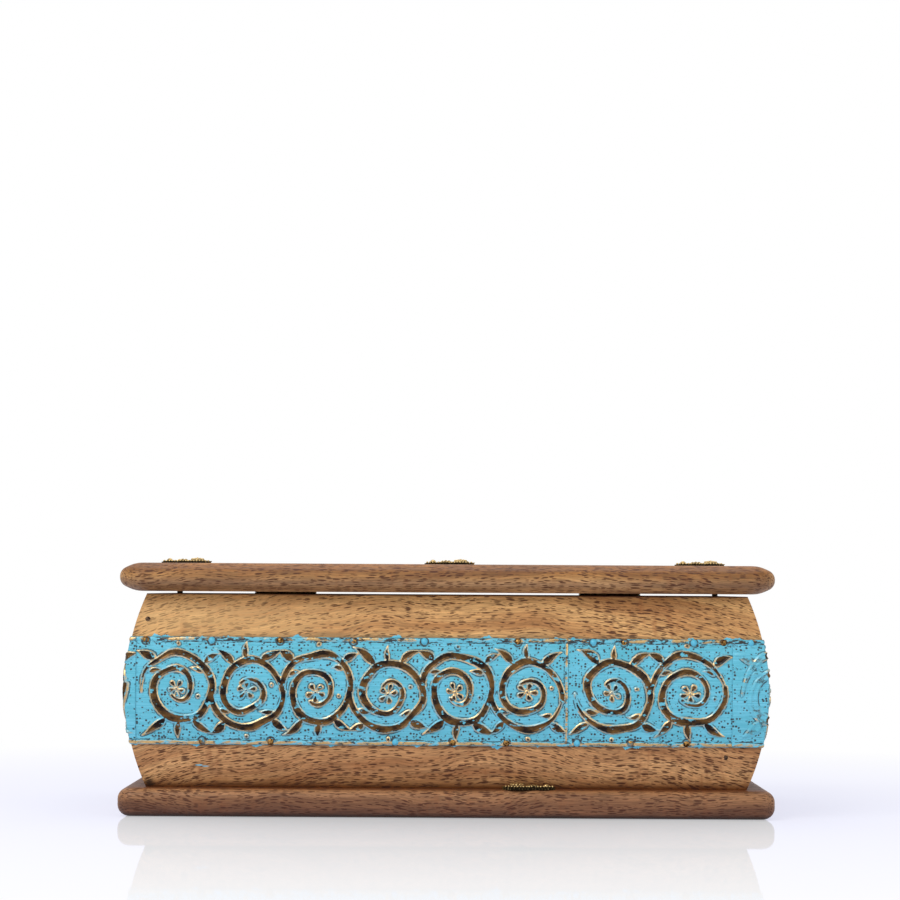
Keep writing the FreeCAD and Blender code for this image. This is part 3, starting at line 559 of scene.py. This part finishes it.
panel_low, panel_high = box_mm("front_panel")
MIDDLE_UP = (panel_low[2] + panel_high[2]) / 2
BULGE = 7.5  # from rim to crest
FACE_RADIUS = ((panel_high[2] - panel_low[2]) ** 2 / 4 + BULGE ** 2) / (2 * BULGE)
HALF_DEPTH = -panel_low[1]
HALF_LENGTH = box_mm("right_panel")[1][0]
SHEET = 0.4
band_low, band_high = box_mm("band_front_left")
SEAM = band_high[0]
LEFT_EDGE = box_mm("band_left")[1][0]
RIGHT_EDGE = box_mm("band_right")[0][0]
LAP = 1.5  # how far the front and back sheets reach under the end sheets
BAND_MIDDLE = (band_low[2] + band_high[2]) / 2
BAND_HALF = (band_high[2] - band_low[2]) / 2
MARGIN = 2.5  # from a vine's end to its sheet's end
print("face radius", round(FACE_RADIUS, 2), "crest", round(HALF_DEPTH, 2), round(HALF_LENGTH, 2))
print("seam", round(SEAM, 1), "edges", round(LEFT_EDGE, 1), round(RIGHT_EDGE, 1),
      "band", round(BAND_MIDDLE, 2), "+-", round(BAND_HALF, 2))


def islands(name):
    """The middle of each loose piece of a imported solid, in millimetres."""
    mesh = nodes[name].data
    places = np.array([v.co for v in mesh.vertices]) * 1000
    parent = list(range(len(places)))

    def find(i):
        while parent[i] != i:
            parent[i] = parent[parent[i]]
            i = parent[i]
        return i

    first = {}
    for i, p in enumerate(map(tuple, places.round(3))):
        parent[i] = find(first.setdefault(p, i))
    for edge in mesh.edges:
        a, b = (find(v) for v in edge.vertices)
        parent[a] = b
    groups = {}
    for i in range(len(places)):
        groups.setdefault(find(i), []).append(places[i])
    return [(np.min(g, 0) + np.max(g, 0)) / 2 for g in groups.values()]


tack_places = {side: islands(f"band_{side}_tacks") for side in ("front", "right", "back", "left")}
print({side: len(found) for side, found in tack_places.items()}, "tacks")

# %% Relief
RIM, FLANK, SUNK = 0.62, 0.5, 0.2
BEAD_IN, BEAD_HALF, BEAD_HIGH = 0.85, 0.75, 0.36
# The groove beside a stroke and the dimple round a tack: depth, place and half width.
GROOVE, DIMPLE = (0.09, 0.45, 0.3), (0.05, 1.5, 0.4)
PRESSED = (1.2, 2.2)  # from a tack's middle to no relief and to all of it
BACK_CLEAR = 0.05  # how far the sheet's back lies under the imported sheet's


def smooth(x, low, high):
    """0 below low, 1 above high and a soft step between them."""
    t = np.clip((x - low) / (high - low), 0, 1)
    return t * t * (3 - 2 * t)


def hollow_at(distance, depth, middle, half_width):
    """A rounded groove so far from a line."""
    return depth * np.exp(-((distance - middle) / half_width) ** 2)


def relief(edge, bead, tack):
    """Height over the sheet from the distances to stroke, bead line and tack."""
    up = RIM * smooth(-edge, -0.12, FLANK)
    down = (RIM - SUNK) * smooth(-edge, FLANK, 1.25)
    ridge = BEAD_HIGH * np.sqrt(np.clip(1 - (bead / BEAD_HALF) ** 2, 0, 1))
    height = np.maximum(up - down - hollow_at(edge, *GROOVE), ridge)
    return height * smooth(tack, *PRESSED) - hollow_at(tack, *DIMPLE)


def bead_lines(along, up, seams):
    """Millimetres to the nearest raised line: the two edges of the band, and any seam."""
    wave = 0.12 * np.sin(along / 3.7) + 0.1 * np.sin(along / 1.9 + 1)
    gap = np.abs(np.abs(up) - (BAND_HALF - BEAD_IN) + wave)
    for x in seams:
        gap = np.minimum(gap, np.abs(along - x + 0.1 * np.sin(up / 4)) + 0.2)
    return gap


def grid_faces(index):
    """The four corners of each cell in a grid of point numbers."""
    corners = [index[:-1, :-1], index[:-1, 1:], index[1:, 1:], index[1:, :-1]]
    return np.stack(corners, -1).reshape(-1, 4).tolist()


def worked_brass(name, top, foot, used, fine, plain, numbers):
    """An object with fine smooth faces on top and plain ones down to the foot's used points."""
    count = top[..., 0].size

    def both(over, under):
        return np.concatenate([over.reshape(count, -1), under.reshape(count, -1)[used]])

    mesh = bpy.data.meshes.new(name)
    mesh.from_pydata((both(top, foot) * MM).tolist(), [], fine + plain)
    mesh.polygons.foreach_set("use_smooth", np.arange(len(mesh.polygons)) < len(fine))
    for label, values in numbers.items():
        values = both(values, values).astype(np.float32)
        kind, field = ("FLOAT", "value") if values.shape[1] == 1 else ("FLOAT_VECTOR", "vector")
        mesh.attributes.new(label, kind, "POINT").data.foreach_set(field, values.ravel())
    mesh.validate()
    return in_scene(name, mesh)


def sheet_piece(name, along, up, place, strokes, tacks, seams=(), kept=(0,), smear=0.0):
    """A closed embossed sheet. place(height) gives the grid's points so high over the sheet."""
    edge = distance_to(strokes, along, up)
    bead = bead_lines(along, up, seams)
    tack = np.full(along.shape, RELIEF_FAR)
    for x, y in tacks:
        tack = np.minimum(tack, np.hypot(along - x, up - y))
    height = relief(edge, bead, tack)
    top, back = place(height), place(np.full(along.shape, -SHEET - BACK_CLEAR))
    rows, columns = along.shape
    index = np.arange(rows * columns).reshape(rows, columns)
    # The back needs only its edges and a few columns.
    kept = sorted({0, columns - 1, *kept})
    used = sorted({int(i) for i in np.concatenate([index[0], index[-1], index[:, kept].ravel()])})
    under = {i: rows * columns + k for k, i in enumerate(used)}
    faces = [[int(a), int(b), under[b], under[a]][::-1]
             for line in (index[0], index[-1][::-1], index[::-1, 0], index[:, -1])
             for a, b in zip(line[:-1].tolist(), line[1:].tolist())]
    for a, b in zip(kept[:-1], kept[1:]):
        for r in range(rows - 1):
            low = index[r, a:b + 1] if r == 0 else index[r, [a, b]]
            high = index[r + 1, a:b + 1] if r == rows - 2 else index[r + 1, [a, b]]
            faces.append([under[int(i)] for i in list(high) + list(low[::-1])])
    flat = np.zeros(along.shape)
    numbers = {"stroke_edge": edge, "bead_line": bead, "tack_ring": tack, "smear": smear + flat,
               "on_band": np.stack([along, up, flat], -1)}
    print(name, columns, "x", rows, "points, relief", round(height.min(), 2),
          "to", round(height.max(), 2), "mm")
    return worked_brass(name, top, back, used, grid_faces(index), faces, numbers)


# %% [markdown]
# ## Painted and rubbed brass
# The paint is a thick turquoise enamel brushed along the band. A dark wax was rubbed over
# it and stays in the grooves and the punched dots. Then the high lines were burnished back
# to bare brass. So the material is brass, paint and wax, mixed by the distance to the
# stroke's edge: dull gold on the rim, dark bronze in the sunk middle with some paint left
# in it, and paint elsewhere. Each pattern below is a noise over the unrolled band, with
# its size in millimetres along and up.

# %% Patterns over the unrolled band
enamel, tree = material("painted_embossed_brass")
edge, bead, tack, smear = (add(tree, "Attribute", output="Fac", attribute_name=name)
                           for name in ("stroke_edge", "bead_line", "tack_ring", "smear"))
on_band = add(tree, "Attribute", output="Vector", attribute_name="on_band")
PATTERNS = {"clouds": (12, 7, 3), "patches": (5, 3.2, 11), "crumbs": (0.9, 0.8, 7),
            "brush": (16, 0.45, 5), "groups": (8, 6, 21), "dirt": (2.6, 0.8, 31),
            "burnish": (7, 4, 41)}
pattern = {}
for name, (wide, high, shift) in PATTERNS.items():
    laid = add(tree, "Mapping", {"Vector": on_band, "Location": (shift, shift * 1.7, shift),
                                 "Scale": (1 / wide, 1 / high, 0)})
    pattern[name] = add(tree, "TexNoise", {"Vector": laid, "Scale": 1.0, "Detail": 4.0,
                                           "Roughness": 0.62})
# Nobody burnishes to a line, so the crumbs fray every distance.
fray = add(tree, "Math", {0: pattern["crumbs"], 1: 0.6, 2: -0.3}, operation="MULTIPLY_ADD")
edge, bead, tack = (add(tree, "Math", {0: value, 1: fray}, operation="ADD")
                    for value in (edge, bead, tack))
level = add(tree, "SeparateXYZ", {0: on_band}).node.outputs["Y"]
up = add(tree, "Math", {0: level}, operation="ABSOLUTE")
# The lower raised line is the brighter one.
above = add(tree, "MapRange", {"Value": level, "From": (-1.0, 1.0), "To": (-0.06, 0.025)})
low_gold = add(tree, "Math", {0: pattern["clouds"], 1: above}, operation="SUBTRACT")
black_top = add(tree, "Math", {0: pattern["burnish"], 1: above}, operation="ADD")

# Each layer is a product of steps: a value, where it starts to count and where it counts fully.
LAYERS = {
    # burnished rim of a stroke, from 0.5 mm inside it to its edge, where the hand reached
    "rim": [(edge, 0.08, -0.1), (edge, -0.52, -0.34), (pattern["clouds"], 0.38, 0.54)],
    # sunk middle, except where paint is left in it
    "core": [(edge, -0.32, -0.6), (pattern["patches"], 0.63, 0.58)],
    # wax in the groove beside a stroke, also painting the thin shadow along its outer edge
    "wax": [(edge, 0.62, 0.4), (edge, -0.02, 0.14), (pattern["patches"], 0.45, 0.56)],
    # the raised line along each edge is bright below and mostly blackened above
    "bead_gold": [(bead, 0.72, 0.48), (low_gold, 0.47, 0.54), (pattern["dirt"], 0.62, 0.54)],
    "bead_wax": [(bead, 0.9, 0.6), (black_top, 0.5, 0.54), (pattern["dirt"], 0.42, 0.47)],
    "bead_groove": [(bead, 1.4, 1.2), (bead, 0.8, 0.95), (pattern["dirt"], 0.44, 0.52)],
    "ring": [(tack, 2.0, 1.75), (tack, 1.0, 1.3), (pattern["patches"], 0.38, 0.5)],
    "dirt": [(pattern["dirt"], 0.57, 0.63), (up, 15.2, 19.0)],
}
layer = {}
for name, steps in LAYERS.items():
    for value, none, full in steps:
        step = add(tree, "MapRange", {"Value": value, "From": (none, full)},
                   interpolation_type="SMOOTHSTEP")
        if name in layer:
            step = add(tree, "Math", {0: layer[name], 1: step}, operation="MULTIPLY")
        layer[name] = step

# Punched dots: dense rows along both edges of the band, and groups in the ground.
cells = add(tree, "VectorMath", {0: on_band, 1: (1 / 1.2, 1 / 1.1, 0.0)}, operation="MULTIPLY")
cells = add(tree, "TexVoronoi", {"Vector": cells, "Scale": 1.0, "Randomness": 0.65}).node.outputs
chance = add(tree, "SeparateColor", {0: cells["Color"]})
across = add(tree, "MapRange", {"Value": chance, "To": (0.25, 0.43)})
hole = add(tree, "Math", {0: across, 1: cells["Distance"]}, operation="SUBTRACT")
hole = add(tree, "MapRange", {"Value": hole, "From": (-0.05, 0.06)})
rows = add(tree, "MapRange", {"Value": up, "From": (15.4, 15.8)})
groups = add(tree, "MapRange", {"Value": pattern["groups"], "From": (0.43, 0.47)})
where = add(tree, "Math", {0: rows, 1: groups}, operation="MAXIMUM")
for value, none, full in ((edge, 0.7, 0.95), (bead, 1.0, 1.3), (chance, 0.1, 0.16)):
    step = add(tree, "MapRange", {"Value": value, "From": (none, full)})
    where = add(tree, "Math", {0: where, 1: step}, operation="MULTIPLY")
layer["hole"] = add(tree, "Math", {0: hole, 1: where}, operation="MULTIPLY")

# %% Paint, bronze, wax and brass, one over the other
missed = add(tree, "Math", {0: pattern["patches"], 1: -1.0, 2: smear}, operation="MULTIPLY_ADD")
bare = add(tree, "MapRange", {"Value": missed, "From": (0.5, 0.4)})
rim, core = (add(tree, "Math", {0: layer[name], 1: bare}, operation="MULTIPLY")
             for name in ("rim", "core"))
shade = add(tree, "MapRange", {"Value": pattern["brush"], "From": (0.3, 0.7)})
tone = add(tree, "Mix", {"Factor": shade, "A": colour("#46a3b8"), "B": colour("#70c4da")})
shade = add(tree, "MapRange", {"Value": pattern["clouds"], "From": (0.4, 0.7), "To Max": 0.4})
tone = add(tree, "Mix", {"Factor": shade, "A": tone, "B": colour("#3a9dab")})
shade = add(tree, "MapRange", {"Value": pattern["burnish"], "From": (0.4, 0.6)})
bronze = add(tree, "Mix", {"Factor": shade, "A": colour("#140a06"), "B": colour("#624520")})
brass = add(tree, "Mix", {"Factor": pattern["crumbs"], "A": colour("#94703c"), "B": colour("#dcbf8c")})
tone = add(tree, "Mix", {"Factor": core, "A": tone, "B": bronze})
for name, most in (("wax", 0.85), ("hole", 0.95), ("bead_wax", 0.97), ("bead_groove", 0.9),
                   ("ring", 0.9), ("dirt", 0.95)):
    share = add(tree, "Math", {0: layer[name], 1: most}, operation="MULTIPLY")
    tone = add(tree, "Mix", {"Factor": share, "A": tone, "B": colour("#170d08")})
gold = add(tree, "Math", {0: rim, 1: layer["bead_gold"]}, operation="MAXIMUM")
tone = add(tree, "Mix", {"Factor": gold, "A": tone, "B": brass})
metal = add(tree, "Math", {0: core, 1: 0.75}, operation="MULTIPLY")
metal = add(tree, "Math", {0: gold, 1: metal}, operation="MAXIMUM")
rough = add(tree, "Math", {0: pattern["crumbs"], 1: 0.16, 2: 0.27}, operation="MULTIPLY_ADD")
skin = add(tree, "Math", {0: pattern["brush"], 1: 0.35, 2: pattern["crumbs"]}, operation="MULTIPLY_ADD")
skin = add(tree, "Math", {0: layer["hole"], 1: -1.6, 2: skin}, operation="MULTIPLY_ADD")
bump = add(tree, "Bump", {"Height": skin, "Strength": 0.5, "Distance": 0.00022})
add(tree, "OutputMaterial", {"Surface": add(tree, "BsdfPrincipled", {
    "Base Color": tone, "Metallic": metal, "Roughness": rough, "Normal": bump})})
print("painted brass of", len(tree.nodes), "nodes")

# %% The front and back sheets
FRONT_STEP, BACK_STEP, END_STEP = 0.33, 0.4, 0.42
SEAM_IN = 0.75  # from the seam's raised line to the end of the left sheet
ARC_IN = FACE_RADIUS - HALF_DEPTH  # how far the front arc's centre lies behind the middle
END_ARC_IN = FACE_RADIUS - HALF_LENGTH


def spaced(low, high, step):
    """Even places from low to high, about a step apart."""
    return np.linspace(low, high, round((high - low) / step) + 1)


def leaning(up, off):
    """How far out and up the bulge is, so far up the band and so far off the wood."""
    angle = np.arcsin((BAND_MIDDLE + up - MIDDLE_UP) / (FACE_RADIUS + SHEET))
    return (FACE_RADIUS + off) * np.cos(angle), MIDDLE_UP + (FACE_RADIUS + off) * np.sin(angle)


def long_sheet(name, low, high, step, facing, strokes, tacks, seams=()):
    """A sheet on the front (facing -1) or on the back (facing 1)."""
    along, up = np.meshgrid(spaced(low, high, step), spaced(-BAND_HALF, BAND_HALF, step))

    def place(height):
        out, z = leaning(up, SHEET + height)
        return np.stack([-facing * along, facing * (out - ARC_IN), z], -1)

    local = [(-facing * x, z - BAND_MIDDLE) for x, _, z in tacks]
    return sheet_piece(name, along, up, place, strokes, local, seams)


rng = np.random.default_rng(7)
sheets = {"band_front_left": long_sheet(
    "embossed_front_left", LEFT_EDGE - LAP, SEAM, FRONT_STEP, -1,
    vine(LEFT_EDGE + MARGIN, SEAM - MARGIN, rng), tack_places["front"], [SEAM - SEAM_IN])}
sheets["band_front_right"] = long_sheet(
    "embossed_front_right", SEAM, RIGHT_EDGE + LAP, FRONT_STEP, -1,
    vine(SEAM + MARGIN, RIGHT_EDGE - MARGIN, rng, -1), tack_places["front"])
sheets["band_back"] = long_sheet(
    "embossed_back", -RIGHT_EDGE - LAP, -LEFT_EDGE + LAP, BACK_STEP, 1,
    vine(-RIGHT_EDGE + MARGIN, -LEFT_EDGE - MARGIN, rng), tack_places["back"])

# %% The end sheets, which go round the corners
CORNER_MM = 0.9
KEPT_RETURN, KEPT_END = 6, 24  # the back keeps one column in so many
WIDE_RETURN = 10


def end_sheet(name, hand, return_edge, strokes, tacks):
    """The sheet on the left (hand -1) or right (hand 1) end, with a return at each side.

    A column's kind is -1 to 1 on the end, 1.5 to 2.5 round a corner and 3 to 4 on a return,
    less than zero at one side. A wide return was painted again after it was bent.
    """
    half = HALF_DEPTH + 2 * SHEET
    back_run = HALF_LENGTH + SHEET - abs(return_edge)
    ends = np.linspace(-1, 1, round(2 * half / END_STEP) + 1)
    turns = np.linspace(0, 1, 6)[1:-1]
    returns = np.linspace(0, 1, round(back_run / END_STEP) + 1)
    kinds = np.concatenate([returns[::-1] * -1 - 3, -turns[::-1] - 1.5,
                            ends, turns + 1.5, returns + 3])
    kind, up = np.meshgrid(kinds, spaced(-BAND_HALF, BAND_HALF, END_STEP))
    side = np.sign(kind)
    size = np.abs(kind)
    on_end, on_turn = size <= 1, (size > 1) & (size < 3)
    share = np.where(on_end, kind, np.where(on_turn, size - 1.5, size - 3))
    out, _ = leaning(up, SHEET)
    reach = out - END_ARC_IN
    past_corner = share * (reach - CORNER_MM - abs(return_edge))
    along = np.where(on_end, share * (half - CORNER_MM),
                     side * np.where(on_turn, half - CORNER_MM + share * 2 * CORNER_MM,
                                     half + CORNER_MM + past_corner))

    def place(height):
        x_out, z = leaning(up, SHEET + height)
        x_out = x_out - END_ARC_IN
        y_out, _ = leaning(up, 2 * SHEET + height)
        y_out = y_out - ARC_IN
        bend = np.where(on_turn, share, 0) * np.pi / 2
        x_return = x_out - CORNER_MM - share * (x_out - CORNER_MM - abs(return_edge))
        x = np.where(on_end, x_out,
                     np.where(on_turn, x_out - CORNER_MM + CORNER_MM * np.cos(bend), x_return))
        y = np.where(on_end, share * (y_out - CORNER_MM),
                     side * np.where(on_turn, y_out - CORNER_MM + CORNER_MM * np.sin(bend), y_out))
        return np.stack([hand * x, hand * y, z], -1)

    smear = smooth(size, 1.6, 3.0) * (back_run > WIDE_RETURN)
    # The back keeps every column round the corners and some elsewhere.
    columns, flat = len(kinds), len(returns)
    first = flat + len(turns)
    kept = [*range(0, first, KEPT_RETURN), *range(flat - 2, first + 2),
            *range(first, columns - first, KEPT_END),
            *range(columns - first - 2, columns - flat + 2),
            *range(columns - flat, columns, KEPT_RETURN)]
    local = [(hand * y, z - BAND_MIDDLE) for _, y, z in tacks]
    return sheet_piece(name, along, up, place, strokes, local, kept=kept, smear=smear)


for side, hand, edge in (("left", -1, LEFT_EDGE), ("right", 1, RIGHT_EDGE)):
    run = HALF_DEPTH + HALF_LENGTH - abs(edge) - MARGIN
    sheets["band_" + side] = end_sheet("embossed_" + side, hand, edge,
                                       vine(-run, run, rng), tack_places[side])
for node, piece in sheets.items():
    piece.data.materials.append(enamel)
    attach(piece, "box")
    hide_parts(node)

# %% [markdown]
# ## Tack heads
# The tacks are brass with domed heads. Some kept their paint, some were rubbed bright, and
# wax darkens them in specks. A noise larger than a head decides which is which.

# %% Tack heads
tack_finish, tree = material("painted_brass_tack")
own = add(tree, "TexCoord", output="Object")
mm = add(tree, "VectorMath", {0: own, "Scale": 1000.0}, operation="SCALE")
which = add(tree, "TexNoise", {"Vector": mm, "Scale": 1 / 9, "Detail": 0.0})
grit = add(tree, "TexNoise", {"Vector": mm, "Scale": 1 / 0.7, "Detail": 4.0})
mixed = add(tree, "Math", {0: grit, 1: 0.3, 2: which}, operation="MULTIPLY_ADD")
painted = add(tree, "MapRange", {"Value": mixed, "From": (0.6, 0.7)})
waxed = add(tree, "MapRange", {"Value": grit, "From": (0.44, 0.6)})
tone = add(tree, "Mix", {"Factor": waxed, "A": colour("#9c7641"), "B": colour("#2c1a0d")})
tone = add(tree, "Mix", {"Factor": painted, "A": tone, "B": colour("#4fb0cc")})
metal = add(tree, "Math", {0: 1.0, 1: painted}, operation="SUBTRACT")
bump = add(tree, "Bump", {"Height": grit, "Strength": 0.4, "Distance": 0.0002})
add(tree, "OutputMaterial", {"Surface": add(tree, "BsdfPrincipled", {
    "Base Color": tone, "Metallic": metal, "Roughness": 0.4, "Normal": bump})})
dress(tack_finish, *[f"band_{side}_tacks" for side in tack_places])
print("four rows of tacks")

# %% [markdown]
# ## Filigree ornaments
# Each ornament is a thin casting in open-work style: a fluted flower at the broad end, a
# veined leaf in the middle and a small knob at the tip, with grains along its rim. At
# 20 mm long it is modelled as one fine height field over a leaf-shaped outline, and its
# height also tells the finish where the brass was rubbed bright.

# %% Ornaments
ORNAMENT_STEPS = (170, 61)
TRIM = (0.15, 0.1, 0.1)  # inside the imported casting, in half length, half width and height
PETALS = 11
PLATE = 0.34  # the flat plate's share of the height

antique_brass, tree = material("antiqued_cast_brass")
rubbed = add(tree, "Attribute", output="Fac", attribute_name="rubbed")
own = add(tree, "TexCoord", output="Object")
grit = add(tree, "TexNoise", {"Vector": own, "Scale": 1000 / 0.6, "Detail": 4.0})
share = add(tree, "Math", {0: grit, 1: 0.5, 2: rubbed}, operation="MULTIPLY_ADD")
share = add(tree, "MapRange", {"Value": share, "From": (0.5, 0.95)}, interpolation_type="SMOOTHSTEP")
tone = add(tree, "Mix", {"Factor": share, "A": colour("#1d170e"), "B": colour("#b59a68")})
rough = add(tree, "MapRange", {"Value": share, "To": (0.6, 0.32)})
bump = add(tree, "Bump", {"Height": grit, "Strength": 0.3, "Distance": 0.0001})
add(tree, "OutputMaterial", {"Surface": add(tree, "BsdfPrincipled", {
    "Base Color": tone, "Metallic": 1.0, "Roughness": rough, "Normal": bump})})


def ornament(name, node, turned=False):
    """A cast ornament in the place of a packed one. turned swings it half round."""
    low, high = box_mm(node)
    middle, half_long = (low[:2] + high[:2]) / 2, (high[0] - low[0]) / 2 - TRIM[0]
    half_wide, tall = (high[1] - low[1]) / 2 - TRIM[1], high[2] - low[2] - TRIM[2]
    t, s = np.meshgrid(*(np.linspace(-1, 1, count) for count in ORNAMENT_STEPS))
    # The outline: a broad round end, a waist behind it and a narrow tip, all scalloped.
    swell = 0.42 + 0.58 * np.exp(-((t - 0.45) / 0.42) ** 2) + 0.16 * np.exp(-((t + 0.6) / 0.2) ** 2)
    taper = np.sqrt(np.clip(1 - np.abs(t) ** 5, 0, 1))
    outline = half_wide * swell / 1.02 * taper * (1 - 0.06 * np.abs(np.sin(t * 17)))
    x, y = t * half_long, s * outline

    def grain(cx, cy, radius, rise):
        """A round grain on the plate."""
        return rise * np.sqrt(np.clip(1 - ((x - cx) ** 2 + (y - cy) ** 2) / radius ** 2, 0, 1))

    # The flower: a fluted dome with a ring of grains.
    fx = 0.46 * half_long
    r, a = np.hypot(x - fx, y), np.arctan2(y, x - fx)
    dome = np.sqrt(np.clip(1 - (r / (0.86 * half_wide)) ** 2, 0, 1))
    flutes = 0.5 + 0.5 * np.cos(PETALS * a)
    height = dome * (0.62 + 0.3 * flutes * smooth(r, 0.25, 1.0))
    for k in range(PETALS):
        b = 2 * math.pi * (k + 0.5) / PETALS
        height = np.maximum(height, grain(fx + 2.3 * math.cos(b), 2.3 * math.sin(b), 0.55, 0.8))
    height = np.maximum(height, grain(fx, 0, 0.8, 1.0))
    # The leaf: an arched ridge with veins.
    lx = -0.12 * half_long
    leaf_arch = np.sqrt(np.clip(1 - ((x - lx) / 3.2) ** 2 - (y / 1.9) ** 2, 0, 1))
    veins = 1 - 0.35 * np.abs(np.sin(2.2 * (x - lx) + 1.8 * np.abs(y)))
    height = np.maximum(height, leaf_arch * 0.72 * veins)
    # The knob at the tip, and grains along the rim.
    height = np.maximum(height, grain(-0.66 * half_long, 0, 1.35, 0.78))
    for k in range(-8, 9):
        gx = k * half_long / 9
        gy = float(np.interp(gx, x[0], outline[0])) - 0.55
        for side in (-1, 1):
            height = np.maximum(height, grain(gx, side * gy, 0.5, 0.42))
    z = low[2] + tall * (PLATE + (1 - PLATE) * height)
    if turned:
        x, y = -x, -y
    rows, columns = x.shape
    top = np.stack([middle[0] + x, middle[1] + y, z], -1).reshape(-1, 3)
    foot = top.copy()
    foot[:, 2] = low[2]
    index = np.arange(rows * columns).reshape(rows, columns)
    ring = np.concatenate([index[0], index[1:, -1], index[-1, -2::-1], index[-2:0:-1, 0]])
    under = {i: rows * columns + k for k, i in enumerate(ring.tolist())}
    faces = [[b, a, under[a], under[b]]
             for a, b in zip(ring.tolist(), np.roll(ring, -1).tolist())]
    faces.append([under[i] for i in ring[::-1].tolist()])
    # What stands over its surroundings is rubbed bright.
    around = sum(np.roll(height, shift, axis) for axis in (0, 1) for shift in (3, -3)) / 4
    worn = 0.5 + 2.2 * (height - around) + 0.35 * (height - 0.5)
    made = worked_brass(name, top, foot, ring, grid_faces(index), faces, {"rubbed": worn})
    made.data.materials.append(antique_brass)
    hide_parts(node)
    return made


for side in ("left", "centre", "right"):
    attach(ornament(f"filigree_{side}", f"lid_ornament_{side}"), "lid")
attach(ornament("filigree_foot", "foot_ornament", turned=True), "box")
print("four filigree ornaments")

# %% Finish
low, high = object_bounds()
